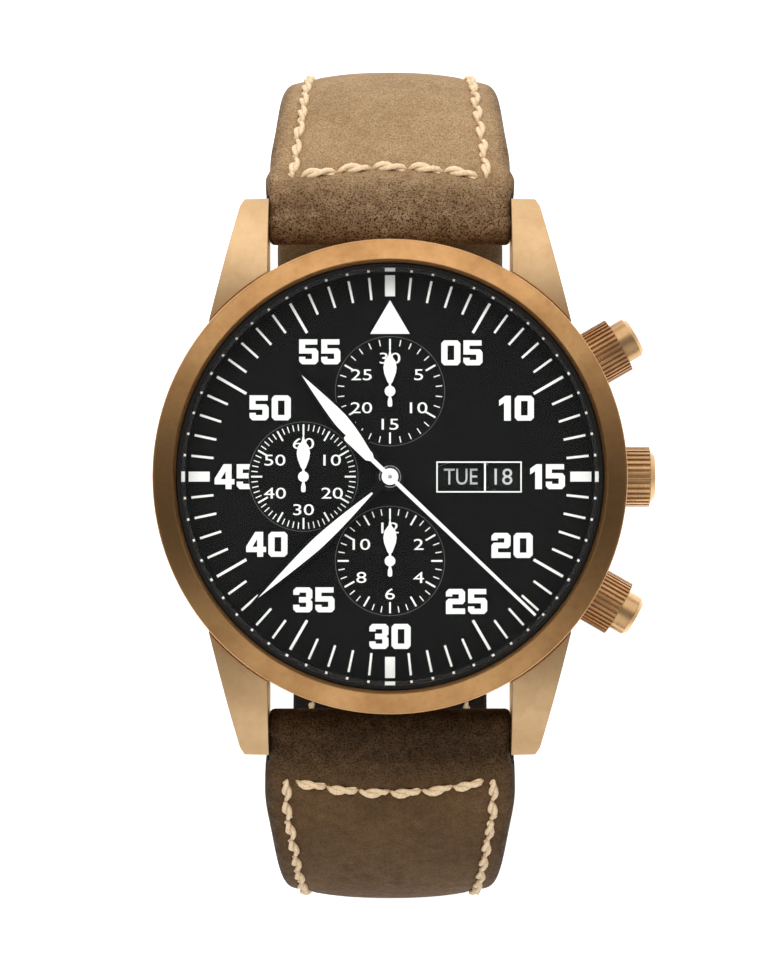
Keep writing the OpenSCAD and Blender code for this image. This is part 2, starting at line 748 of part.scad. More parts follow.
module automatic_bridge() {
  low = low_of(7.05);
  high = low_of(6.5);
  color("#b9bcc1") difference() {
    union() {
      disc(2.4, low, high);
      for (a = arm_angles) {
        link([0, 0], polar(arm_at, a), 1.6, 1.1, low, high);
        at(polar(arm_at, a)) disc(1, low + 0.1, low_of(bridge_low), $fn = 48);
      }
    }
    disc(sweep_pipe + 0.02, low + 0.2, high + cut, $fn = 32);
    for (a = arm_angles)
      at(polar(arm_at, a)) disc(0.4, low - cut, low_of(bridge_low - cut), $fn = 24);
  }
}

// A wheel with crossed-out arms
module spoked(outline, rim_in, hub, low, high, arms = 4) {
  arm_w = 0.5;
  slab(low, high) difference() {
    polygon(outline);
    difference() {
      circle(rim_in, $fn = 64);
      circle(hub, $fn = 32);
      for (i = [0:arms - 1])
        rotate([0, 0, 360 * i / arms]) translate([0, -arm_w / 2]) square([rim_in + cut, arm_w]);
    }
  }
}
module pivots(low, high) {
  disc(pivot_r, low - 0.35, high + 0.35, $fn = 24);
  disc(arbor_r, low, high, $fn = 24);
}

module barrel() {
  color("#c7a24a") at(barrel_at) difference() {
    union() {
      slab(low_of(4.7), low_of(4.2)) rotate([0, 0, barrel_a]) polygon(teeth(barrel_t, m_barrel));
      disc(barrel_t / 2 * m_barrel - 0.35, low_of(4.9), low_of(4.02));
    }
    disc(0.6 + run, low_of(7), low_of(2), $fn = 32);
  }
}

module ratchet_wheel() {
  color("#b9bcc1") at(barrel_at) difference() {
    union() {
      slab(low_of(6.2), low_of(5.85)) polygon(teeth(48, 0.115));
      disc(0.5, low_of(5.85), low_of(plate_low - 0.4), $fn = 32);
    }
    disc(0.25, low_of(7), low_of(6), $fn = 24);
  }
}

module centre_wheel() {
  color("#c7a24a") difference() {
    union() {
      slab(low_of(4.8), low_of(4.05)) rotate([0, 0, barrel_a + 180 / centre_p]) polygon(teeth(centre_p, m_barrel));
      spoked(teeth(centre_t, m_centre), centre_t / 2 * m_centre - 0.7, 1, low_of(3.52), low_of(3.35));
      disc(0.6, low_of(4.95), low_of(plate_low + 0.03), $fn = 48);
      disc(centre_pipe, low_of(4.95), low_of(0.35), $fn = 48);
    }
    disc(sweep_pipe + run, low_of(7), low_of(-3), $fn = 32);
  }
}

module cannon_pinion() {
  color("#b9bcc1") difference() {
    union() {
      slab(low_of(0.85), low_of(0.62)) rotate([0, 0, minute_a]) polygon(teeth(cannon_t, m_cannon));
      disc(minute_pipe, low_of(0.85), minute_z + 0.2, $fn = 48);
    }
    disc(centre_pipe, low_of(2), low_of(0.35), $fn = 48);
    disc(sweep_pipe + run, low_of(2), minute_z + cut, $fn = 32);
  }
}

module minute_wheel() {
  color("#c7a24a") at(minute_at) difference() {
    union() {
      slab(low_of(0.84), low_of(0.68)) rotate([0, 0, minute_a + 180 + 180 / minute_t])
        polygon(teeth(minute_t, m_cannon));
      slab(low_of(0.68), low_of(0.2)) rotate([0, 0, minute_a + 180 + 180 / minute_p])
        polygon(teeth(minute_p, m_motion));
    }
    disc(0.3 + run, low_of(2), low_of(-1), $fn = 32);
  }
}

module hour_wheel() {
  color("#c7a24a") difference() {
    union() {
      slab(low_of(0.45), low_of(0.22)) rotate([0, 0, minute_a]) polygon(teeth(hour_t, m_motion));
      disc(hour_pipe, low_of(0.45), hour_z + 0.2, $fn = 64);
    }
    disc(minute_pipe + run, low_of(2), hour_z + cut, $fn = 48);
  }
}

function angle_to(a, b) = atan2(b[1] - a[1], b[0] - a[0]);

module third_wheel() {
  a = angle_to([0, 0], third_at);
  b = angle_to(third_at, fourth_at);
  color("#c7a24a") at(third_at) {
    slab(low_of(3.52), low_of(3.22)) rotate([0, 0, a + 180 + 180 / third_p]) polygon(teeth(third_p, m_centre));
    rotate([0, 0, b])
      spoked(teeth(third_t, m_third), third_t / 2 * m_third - 0.6, 0.7, low_of(3.2), low_of(3.05));
    pivots(low_of(bridge_top - 0.05), low_of(plate_low + 0.05));
  }
}

module fourth_wheel() {
  b = angle_to(third_at, fourth_at);
  color("#c7a24a") at(fourth_at) {
    slab(low_of(3.25), low_of(3)) rotate([0, 0, b + 180 + 180 / fourth_p]) polygon(teeth(fourth_p, m_third));
    rotate([0, 0, -90])
      spoked(teeth(fourth_t, m_fourth), fourth_t / 2 * m_fourth - 0.55, 0.7, low_of(3.9), low_of(3.75));
    disc(pivot_r, low_of(bridge_top + 0.3), low_of(bridge_top - 0.05), $fn = 24);
    disc(0.2, low_of(bridge_top - 0.05), low_of(0.7), $fn = 32);
  }
}

module escape_wheel() {
  color("#c9ccd0") at(escape_at) {
    slab(low_of(3.98), low_of(3.6)) rotate([0, 0, 90 + 180 / escape_p]) polygon(teeth(escape_p, m_fourth));
    spoked(raked(escape_t, escape_r), escape_r - 1, 0.55, low_of(3.52), low_of(3.35));
    pivots(low_of(bridge_top - 0.05), low_of(plate_low + 0.05));
  }
}

module pallet_fork() {
  low = low_of(3.52);
  high = low_of(3.35);
  arm = escape_r * tan(30);
  pallet_w = 0.28;
  color("#b9bcc1") at(fork_at) rotate([0, 0, lever_a]) {
    slab(low, high) difference() {
      union() {
        polygon([[0, -0.22], [0, 0.22], [fork_l, 0.34], [fork_l, -0.34]]);
        for (s = [-1, 1])
          rotate([0, 0, 180 + s * 60]) translate([0, -pallet_w / 2]) square([arm, pallet_w]);
        circle(0.45, $fn = 32);
      }
      translate([fork_l - 0.45, -0.14]) square([1, 0.28]);
    }
    disc(pivot_r, low_of(3.85), low_of(plate_low - 0.3), $fn = 24);
  }
}

module balance_wheel() {
  color("#d2b25e") at(balance_at) {
    slab(low_of(4.45), low_of(4.05)) {
      difference() {
        circle(balance_r);
        circle(balance_r - 0.55);
      }
      difference() {
        union() {
          for (i = [0:2])
            rotate([0, 0, 120 * i + 20]) translate([0, -0.3]) square([balance_r - 0.3, 0.6]);
          circle(0.8, $fn = 32);
        }
      }
    }
    for (i = [0:5])
      rotate([0, 0, 60 * i + 50]) translate([balance_r - 0.15, 0, low_of(4.25)])
        rotate([0, 90, 0]) cylinder(r = 0.16, h = 0.4, $fn = 16);
    disc(0.95, low_of(3.98), low_of(3.88), $fn = 48);
    disc(0.22, low_of(bridge_top - 0.05), low_of(plate_low + 0.05), $fn = 32);
    disc(pivot_r, low_of(bridge_top + 0.3), low_of(plate_low - 0.3), $fn = 24);
    rotate([0, 0, lever_a + 180]) translate([0.5, 0, 0]) disc(0.1, low_of(3.98), low_of(3.3), $fn = 16);
  }
}

// A flat spiral of one thin strip, from the collet on the staff to its stud on the cock
module hairspring() {
  turns = 5;
  first_r = 0.55;
  pitch = 0.34;
  strip = 0.07;
  per_turn = 24;
  n = turns * per_turn;
  function spiral(off) = [for (i = [0:n]) polar(first_r + pitch * i / per_turn + off, 360 * i / per_turn)];
  inner = spiral(-strip / 2);
  outer = spiral(strip / 2);
  end_at = polar(first_r + pitch * turns, 0);
  color("#5b6fa8") at(balance_at) {
    slab(low_of(4.9), low_of(4.72)) union() {
      polygon(concat(outer, [for (i = [n:-1:0]) inner[i]]));
      difference() {
        circle(first_r + strip, $fn = 32);
        circle(0.24, $fn = 32);
      }
    }
    at(end_at) disc(0.2, low_of(bridge_top), low_of(4.72), $fn = 24);
  }
}

module chrono_runner() {
  color("#c7a24a") {
    spoked(teeth(60, 0.105), 2.5, 0.8, low_of(6.2), low_of(6.05), 5);
    disc(sweep_pipe, low_of(6.65), sweep_z + 0.2, $fn = 32);
  }
}

module rotor() {
  low = low_of(7.75);
  web = 0.35;
  rim_high = low_of(6.35);
  half_open = 84;
  bearing = 1.85;
  color("#c4c7cb") {
    translate([0, 0, low]) rotate([0, 0, 270 - half_open]) rotate_extrude(angle = 2 * half_open)
      polygon([[rotor_r - rim_w, 0], [rotor_r, 0], [rotor_r, rim_high - low], [rotor_r - rim_w, rim_high - low]]);
    slab(low, low + web) difference() {
      union() {
        circle(3, $fn = 64);
        intersection() {
          circle(rotor_r - rim_w + 0.4);
          polygon([[0, 1.6], for (a = [270 - half_open, 240, 270, 300, 270 + half_open]) polar(2 * rotor_r, a)]);
        }
      }
      circle(bearing, $fn = 48);
      for (a = [-34, 34])
        rotate([0, 0, a]) intersection() {
          difference() {
            circle(rotor_r - rim_w - 0.9);
            circle(4.2, $fn = 64);
          }
          polygon([[0, 0], polar(30, 270 - 22), polar(30, 270 + 22)]);
        }
    }
    ring(bearing, 2.4, low, low + 0.6, $fn = 48);
  }
}

module rotor_bearing() {
  low = low_of(7.75);
  balls = 7;
  race = 1.16;
  ball = 0.32;
  color("#a9adb2") {
    difference() {
      disc(race, low - 0.1, low_of(7.05), $fn = 48);
      translate([-2, -0.14, low - cut]) cube([4, 0.28, cut + 0.1]);
    }
    for (i = [0:balls - 1])
      rotate([0, 0, 360 * i / balls]) translate([race + ball + 0.01, 0, low + 0.3]) sphere(ball, $fn = 24);
  }
}

// One slotted screw: a head that stands on the bridge and a shank in its hole
module screw(p, head_low, tip) {
  head_r = 0.7;
  shank = 0.38;
  at(p) difference() {
    union() {
      disc(head_r, head_low - 0.32, head_low, $fn = 32);
      disc(shank, head_low - 0.1, tip, $fn = 24);
    }
    translate([-1, -0.11, head_low - cut - 0.2]) cube([2, 0.22, cut]);
  }
}

module movement_screws() {
  color("#3d58a6") {
    for (p = bridge_screws) screw(p, low_of(bridge_low), low_of(plate_low));
    for (p = cock_screws) screw(p, low_of(bridge_low), low_of(plate_low));
    for (a = arm_angles) screw(polar(arm_at, a), low_of(7.05), low_of(bridge_low));
  }
}

module jewels() {
  color("#b5183a") {
    for (p = [third_at, fourth_at, escape_at])
      at(p) ring(pivot_r + run, jewel_r, low_of(bridge_low), low_of(bridge_top));
    at(balance_at) ring(pivot_r + run, jewel_r, low_of(bridge_low), low_of(bridge_top));
    for (p = [third_at, escape_at, fork_at, balance_at])
      at(p) ring(pivot_r + run, jewel_r, low_of(plate_low), low_of(plate_low - 0.5));
  }
}

// The strap's width follows its height in the loop
module strap_width() {
  top = bar_z + roll_r + 1;
  bottom = base_z - 5;
  at_loop = strap_end_w / 2;
  slope = (strap_w / 2 - at_loop) / (bar_z - loop_z);
  rotate([90, 0, 0]) translate([0, 0, -2 * lug_span]) linear_extrude(4 * lug_span) polygon(both_sides([
    [at_loop + slope * (bottom - loop_z), bottom], [at_loop + slope * (top - loop_z), top]
  ]));
}

module twelve_side() children();
module six_side() mirror([0, 1, 0]) children();

// A round bar or bore along X at a point in Y and Z
module rod(p, r, w) translate([0, p[0], p[1]]) rotate([0, 90, 0]) translate([0, 0, -w / 2]) cylinder(r = r, h = w);

// Leather of a strap piece: its padded band and the roll round the spring bar
module leather(p, path, length) {
  w = 2 * strap_w;
  difference() {
    union() {
      along_x(w) polygon(layer(p, path, 0, length, [-0.5, 0], [0.5, 0]));
      rod([bar_y, bar_z], roll_r, w, $fn = 64);
    }
    along_x(w + 2) polygon(layer(p, path, 4, length - 3, [-0.5, -1], [-0.5, lining_t]));
    rod([bar_y, bar_z], bar_r + 0.1, w + 2, $fn = 48);
  }
}

module strap_twelve() {
  color("#9c7a52") difference() {
    intersection() {
      union() {
        leather(twelve_start, twelve_path, twelve_len);
        rod([pin_y, loop_z], pin_roll, 2 * strap_w - 1, $fn = 48);
      }
      strap_width();
    }
    rod([pin_y, loop_z], pin_r + 0.08, 2 * strap_w + 1, $fn = 48);
    translate([-tongue_w / 2 - 0.4, pin_y - 4, loop_z - 4]) cube([tongue_w + 0.8, 7, 8]);
  }
}

module lining_twelve()
  color("#241d18") intersection() {
    along_x(2 * strap_w)
      polygon(layer(twelve_start, twelve_path, 4, twelve_len - 3, [-0.5, 0], [-0.5, lining_t]));
    strap_width();
  }

// Everything cut through the long piece: the tongue's holes and the round of its tip
module six_cuts() {
  tip = along(six_start, six_path, six_len);
  tip_round = strap_end_w / 2 + 0.6;
  for (i = [-2:4]) {
    q = along(six_start, six_path, hole_s + i * hole_pitch);
    translate([0, q[0], q[1]]) rotate([q[2], 0, 0])
      translate([0, 0, -5]) cylinder(r = hole_r, h = 10, $fn = 32);
  }
  translate([-hole_r, hole_slot()[0], -60]) cube([2 * hole_r, hole_slot()[1], 25]);
  translate([0, tip[0], tip[1]]) rotate([tip[2], 0, 0]) translate([0, -tip_round, -5]) difference() {
    translate([-strap_w, 0, 0]) cube([2 * strap_w, tip_round + 1, 10]);
    translate([0, -0.2, -cut]) cylinder(r = tip_round, h = 10 + 2 * cut);
  }
}
// The hole in use is drawn long by the tongue: from and length, in the mirrored frame
function hole_slot() =
  let (q = along(six_start, six_path, hole_s))
  [q[0] - 2.5, 4.4];

module strap_six() {
  color("#6f5236") six_side() difference() {
    intersection() {
      leather(six_start, six_path, six_len);
      strap_width();
    }
    six_cuts();
  }
}

module lining_six()
  color("#1b1715") six_side() difference() {
    intersection() {
      along_x(2 * strap_w)
        polygon(layer(six_start, six_path, 4, six_len - 3, [-0.5, 0], [-0.5, lining_t]));
      strap_width();
    }
    six_cuts();
  }

// A keeper round both layers, standing under the point that the loop turns about
module keeper() {
  half = strap_end_w / 2 + keeper_gap;
  high = thin_t / 2 + keeper_gap;
  low = -tail_drop - thin_t / 2 - keeper_gap;
  rotate([90, 0, 0]) translate([0, 0, -keeper_w / 2]) linear_extrude(keeper_w) difference() {
    offset(r = 0.9, $fn = 32) translate([-half - keeper_t + 0.9, low - keeper_t + 0.9])
      square([2 * (half + keeper_t - 0.9), high - low + 2 * keeper_t - 1.8]);
    translate([-half, low]) square([2 * half, high - low]);
  }
}

module turned_keeper(a)
  translate([0, turn_y, turn_z]) rotate([a, 0, 0]) translate([0, 0, -twelve_R]) keeper();

// On the flat run, or on the turn where a taller loop starts it sooner
module fixed_keeper()
  color("#7a5a3a") {
    if (fixed_y <= turn_y) translate([0, fixed_y, loop_z]) keeper();
    else turned_keeper((fixed_y - turn_y) / twelve_R * 180 / PI);
  }

module free_keeper()
  color("#7a5a3a") turned_keeper(free_turn);

// A spring bar lying along X: body, collars and tips
module spring_bar(r, body, tip) {
  rotate([0, 90, 0]) {
    translate([0, 0, -body]) cylinder(r = r, h = 2 * body, $fn = 48);
    translate([0, 0, -tip]) cylinder(r = tip_r, h = 2 * tip, $fn = 32);
  }
}

module spring_bars() {
  color("#a9adb2") {
    for (s = [-1, 1])
      translate([0, s * bar_y, bar_z]) spring_bar(bar_r, bar_half, lug_gap / 2 + 1.2);
    translate([0, pin_y, loop_z]) spring_bar(pin_r, strap_end_w / 2 - 0.2, frame_in + 1.2);
  }
}

module buckle_frame() {
  top = loop_z - thin_t / 2 - 1.1;
  color("#b07f48") difference() {
    union() {
      for (s = [-1, 1])
        translate([s * (frame_in + frame_w / 2), 0, 0]) along_x(frame_w) hull() {
          translate([pin_y, loop_z]) circle(1.5, $fn = 48);
          translate([rail_y - rail_w / 2, base_z]) square([rail_w, top - base_z]);
        }
      along_x(2 * (frame_in + frame_w)) offset(r = 0.6, $fn = 24)
        translate([rail_y - rail_w / 2 + 0.6, base_z + 0.6])
          square([rail_w - 1.2, top - base_z - 1.2]);
    }
    translate([0, pin_y, loop_z]) rotate([0, 90, 0])
      translate([0, 0, -frame_in - 1.3]) cylinder(r = tip_r + run, h = 2 * frame_in + 2.6, $fn = 32);
    translate([-tongue_w / 2 - 0.15, rail_y - rail_w, base_z - cut])
      cube([tongue_w + 0.3, 2 * rail_w, cut + 1.25]);
  }
}

module buckle_tongue() {
  t = 1.05;
  path = [[pin_y - 1, loop_z - 0.1], [-1.1, loop_z - 0.25], [-3.5, base_z + t / 2 + 0.75],
          [rail_y + rail_w / 2 + 0.8, base_z + t / 2 + 0.12],
          [rail_y - rail_w / 2 - 0.3, base_z + t / 2 + 0.12]];
  color("#b07f48") difference() {
    along_x(tongue_w) union() {
      translate([pin_y, loop_z]) circle(1.4, $fn = 48);
      for (i = [0:3]) hull() {
        translate(path[i]) circle(t / 2, $fn = 24);
        translate(path[i + 1]) circle(t / 2, $fn = 24);
      }
    }
    translate([0, pin_y, loop_z]) rotate([0, 90, 0])
      translate([0, 0, -5]) cylinder(r = pin_r + run, h = 10, $fn = 48);
  }
}

case_middle();
bezel();
crystal();
crystal_gasket();
rehaut();
dial();
case_back();
back_crystal();
case_back_gasket();
crown_tube();
crown();
winding_stem();
winding_pinion();
pusher_tubes();
upper_pusher();
lower_pusher();
upper_collar();
lower_collar();
hour_hand();
hour_lume();
minute_hand();
minute_lume();
chrono_seconds_hand();
minute_counter_hand();
hour_counter_hand();
running_seconds_hand();
day_disc();
date_ring();
movement_ring();
main_plate();
train_bridge();
pallet_bridge();
balance_cock();
automatic_bridge();
barrel();
ratchet_wheel();
centre_wheel();
cannon_pinion();
minute_wheel();
hour_wheel();
third_wheel();
fourth_wheel();
escape_wheel();
pallet_fork();
balance_wheel();
hairspring();
chrono_runner();
rotor();
rotor_bearing();
movement_screws();
jewels();
strap_twelve();
lining_twelve();
strap_six();
lining_six();
fixed_keeper();
free_keeper();
spring_bars();
buckle_frame();
buckle_tongue();
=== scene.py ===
import math
import bmesh
import bpy
import numpy as np
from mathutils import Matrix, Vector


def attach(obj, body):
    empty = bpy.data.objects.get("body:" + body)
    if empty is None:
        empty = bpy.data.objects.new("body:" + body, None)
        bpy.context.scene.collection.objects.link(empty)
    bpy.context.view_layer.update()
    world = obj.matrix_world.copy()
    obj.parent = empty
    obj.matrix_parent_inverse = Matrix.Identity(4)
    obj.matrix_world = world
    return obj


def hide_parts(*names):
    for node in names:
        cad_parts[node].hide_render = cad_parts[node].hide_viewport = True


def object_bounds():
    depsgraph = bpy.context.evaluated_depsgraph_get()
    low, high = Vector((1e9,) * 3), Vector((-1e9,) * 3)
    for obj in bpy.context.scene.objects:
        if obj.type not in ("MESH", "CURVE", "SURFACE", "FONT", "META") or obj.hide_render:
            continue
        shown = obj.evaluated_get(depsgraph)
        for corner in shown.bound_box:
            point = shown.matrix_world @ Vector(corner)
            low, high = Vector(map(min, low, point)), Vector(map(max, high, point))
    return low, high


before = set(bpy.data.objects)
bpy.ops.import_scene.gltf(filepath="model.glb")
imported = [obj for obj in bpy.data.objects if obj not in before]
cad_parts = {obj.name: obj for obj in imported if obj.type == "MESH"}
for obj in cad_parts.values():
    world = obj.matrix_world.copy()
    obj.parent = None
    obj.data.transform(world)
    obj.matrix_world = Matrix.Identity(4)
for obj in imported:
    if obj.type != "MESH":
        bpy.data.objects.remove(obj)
cadBox = [[float(v) for v in corner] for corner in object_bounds()]
mm = 0.001
rng = np.random.default_rng(20)

camera = dict(height=306.0, offAxis=-0.98, verticalView=16.9, near=0.01, far=20)
room = dict(
    floorSize=6.0, floorDrop=0.00002, floorColor=(0.95, 0.95, 0.95, 1), floorRough=0.9, floorGlow=0.5,
    sky=0.025, zenith=0.3, upper=1.5, lower=1.0,
)
lamps = dict(
    key=dict(at=(-60, 230, 420), size=(360, 200), power=1.35),
    fill=dict(at=(60, -240, 420), size=(340, 200), power=0.6),
)
white = (1, 1, 1, 1)


def setInputs(node, values):
    for key, value in values.items():
        node.inputs[key].default_value = value


class Net:
    # a thin hand for building node trees
    def __init__(self, tree):
        self.tree = tree

    def add(self, kind, **values):
        node = self.tree.nodes.new(kind)
        for key, value in values.items():
            setattr(node, key, value)
        return node

    def link(self, out, into):
        self.tree.links.new(out, into)

    def feed(self, value, socket):
        # an output is linked to the socket, a number or colour is set on it
        if isinstance(value, bpy.types.NodeSocket):
            self.link(value, socket)
        elif value is not None:
            socket.default_value = value

    def noise(self, vector, scale, detail, rough, dims="3D"):
        node = self.add("ShaderNodeTexNoise", noise_dimensions=dims)
        setInputs(node, {"Scale": scale, "Detail": detail, "Roughness": rough})
        self.link(vector, node.inputs["W" if dims == "1D" else "Vector"])
        return node.outputs["Fac"]

    def math(self, op, a, b=None, clamp=False):
        node = self.add("ShaderNodeMath", operation=op, use_clamp=clamp)
        for socket, value in zip(node.inputs, (a, b)):
            self.feed(value, socket)
        return node.outputs[0]

    def span(self, value, low, high, outLow=0.0, outHigh=1.0):
        # a value carried from one range to another, held at both ends
        node = self.add("ShaderNodeMapRange")
        for key, v in zip(("Value", "From Min", "From Max", "To Min", "To Max"), (value, low, high, outLow, outHigh)):
            self.feed(v, node.inputs[key])
        return node.outputs["Result"]

    def mix(self, fac, a, b):
        node = self.add("ShaderNodeMix", data_type="RGBA")
        for socket, value in ((node.inputs["Factor"], fac), (node.inputs[6], a), (node.inputs[7], b)):
            self.feed(value, socket)
        return node.outputs[2]

    def bump(self, height, strength, distance, normal=None):
        node = self.add("ShaderNodeBump")
        for key, value in (("Distance", distance), ("Strength", strength), ("Height", height), ("Normal", normal)):
            self.feed(value, node.inputs[key])
        return node.outputs["Normal"]


def studioSky(tree):
    # soft boxes above and below the watch, dark to both sides and straight overhead, so metal shows form
    net = Net(tree)
    way = net.add("ShaderNodeSeparateXYZ")
    net.link(net.add("ShaderNodeTexCoord").outputs["Generated"], way.inputs[0])
    height = way.outputs[2]
    flat = net.math("SQRT", net.math("MAXIMUM", net.math("SUBTRACT", 1.0, net.math("MULTIPLY", height, height)), 0.01))
    toward = net.math("DIVIDE", way.outputs[1], flat)
    band = net.math("MULTIPLY", net.span(height, -0.05, 0.3), net.span(height, 0.97, 0.88))
    upper = net.math("MULTIPLY", net.span(toward, 0.2, 0.9, 0.0, room["upper"]), band)
    lower = net.math("MULTIPLY", net.span(toward, -0.4, -0.95, 0.0, room["lower"]), band)
    top = net.span(height, 0.9, 0.97, 0.0, room["zenith"])
    total = net.math("ADD", net.math("ADD", top, upper), net.math("ADD", lower, room["sky"]))
    tree.nodes["Background"].inputs["Color"].default_value = white
    net.link(total, tree.nodes["Background"].inputs["Strength"])


def box(left, right, low, high):
    return [(left, low), (right, low), (right, high), (left, high)]


def place(obj):
    bpy.context.scene.collection.objects.link(obj)
    return obj


def newMaterial(name):
    mat = bpy.data.materials.new(name)
    mat.use_nodes = True
    return mat, Net(mat.node_tree), mat.node_tree.nodes["Principled BSDF"]


def addCamera():
    data = bpy.data.cameras.new("camera")
    data.sensor_fit = "VERTICAL"
    data.angle = math.radians(camera["verticalView"])
    data.clip_start = camera["near"]
    data.clip_end = camera["far"]
    obj = place(bpy.data.objects.new("camera", data))
    obj.location = (0, camera["offAxis"] * mm, camera["height"] * mm)
    bpy.context.scene.camera = obj


def addFloor():
    # a pale sheet a hair under the lowest point
    low = cadBox[0][2] - room["floorDrop"]
    half = room["floorSize"] / 2
    mesh = bpy.data.meshes.new("floor")
    mesh.from_pydata([(x, y, low) for x, y in box(-half, half, -half, half)], [], [(0, 1, 2, 3)])
    floor = place(bpy.data.objects.new("floor", mesh))
    mat, net, shader = newMaterial("floorPaper")
    setInputs(shader, {"Base Color": room["floorColor"], "Roughness": room["floorRough"], "Emission Color": white,
                       "Emission Strength": room["floorGlow"]})
    mesh.materials.append(mat)


def addLight():
    world = bpy.data.worlds.new("studio")
    bpy.context.scene.world = world
    world.use_nodes = True
    studioSky(world.node_tree)
    bpy.context.scene.view_settings.view_transform = "Standard"
    for name, lamp in lamps.items():
        data = bpy.data.lights.new(name, "AREA")
        data.shape = "RECTANGLE"
        data.size, data.size_y = lamp["size"][0] * mm, lamp["size"][1] * mm
        data.energy = lamp["power"]
        obj = place(bpy.data.objects.new(name, data))
        obj.visible_glossy = False  # metal mirrors the studio's soft boxes alone
        at = np.array(lamp["at"], float) * mm
        obj.location = at
        aim = -at / np.linalg.norm(at)
        obj.rotation_euler = (math.acos(-aim[2]), 0, math.atan2(aim[1], aim[0]) - math.pi / 2)


addCamera()
addFloor()
addLight()
print("camera and room")


def rgb(r, g, b):
    # screen colour 0..255 to linear
    lin = [(v / 255 / 12.92) if v / 255 <= 0.04045 else ((v / 255 + 0.055) / 1.055) ** 2.4 for v in (r, g, b)]
    return (*lin, 1.0)


def newGroup(name, **ins):
    # colours and numbers go in; a shader's colour, roughness and normal come out
    tree = bpy.data.node_groups.new(name, "ShaderNodeTree")
    for label, value in ins.items():
        kind = "Color" if isinstance(value, tuple) else "Float"
        socket = tree.interface.new_socket(label, in_out="INPUT", socket_type="NodeSocket" + kind)
        socket.default_value = rgb(*value) if isinstance(value, tuple) else value
    for label, kind in (("Color", "Color"), ("Roughness", "Float"), ("Normal", "Vector")):
        tree.interface.new_socket(label, in_out="OUTPUT", socket_type="NodeSocket" + kind)
    net = Net(tree)
    given, out = net.add("NodeGroupInput").outputs, net.add("NodeGroupOutput").inputs
    return net, given, out, net.add("ShaderNodeTexCoord").outputs["Object"]


def closeGroup(net, out, color, rough, normal):
    for label, value in (("Color", color), ("Roughness", rough), ("Normal", normal)):
        net.link(value, out[label])
    return net.tree


def bronzeGroup():
    # patina in soft clouds, fine tool lines, straight or turned, and rounded edges
    net, given, out, coord = newGroup(
        "castBronze", Fresh=(225, 178, 124), Patina=(150, 102, 62), Amount=0.5, Polish=0.3, Lines=0.2, Turned=0.0,
        Edge=0.00012)
    cloud = net.noise(coord, 160, 5.0, 0.65)
    speck = net.noise(coord, 1500, 2.0, 0.5)
    mask = net.math("MULTIPLY", net.span(cloud, 0.35, 0.7), given["Amount"], clamp=True)
    color = net.mix(mask, given["Fresh"], given["Patina"])
    color = net.mix(net.span(speck, 0.55, 0.85, 0.0, 0.25), color, given["Patina"])
    split = net.add("ShaderNodeSeparateXYZ")
    net.link(coord, split.inputs[0])
    flat = net.add("ShaderNodeCombineXYZ")
    net.link(split.outputs[0], flat.inputs[0])
    net.link(split.outputs[1], flat.inputs[1])
    radius = net.add("ShaderNodeVectorMath", operation="LENGTH")
    net.link(flat.outputs[0], radius.inputs[0])
    rings = net.noise(radius.outputs["Value"], 14000, 3.0, 0.6, "1D")
    stretched = net.add("ShaderNodeMapping")
    stretched.inputs["Scale"].default_value = (9000, 500, 9000)
    net.link(coord, stretched.inputs["Vector"])
    grain = net.noise(stretched.outputs[0], 1.0, 3.0, 0.6)
    both = net.add("ShaderNodeMix", data_type="FLOAT")
    for socket, value in ((both.inputs["Factor"], given["Turned"]), (both.inputs[2], grain), (both.inputs[3], rings)):
        net.link(value, socket)
    lines = both.outputs[0]
    rough = net.math("ADD", given["Polish"], net.math("MULTIPLY", net.math("SUBTRACT", lines, 0.5), 0.22))
    rough = net.math("ADD", rough, net.math("MULTIPLY", mask, 0.18), clamp=True)
    bevel = net.add("ShaderNodeBevel", samples=4)
    net.link(given["Edge"], bevel.inputs["Radius"])
    return closeGroup(net, out, color, rough, net.bump(lines, given["Lines"], 0.00002, bevel.outputs[0]))


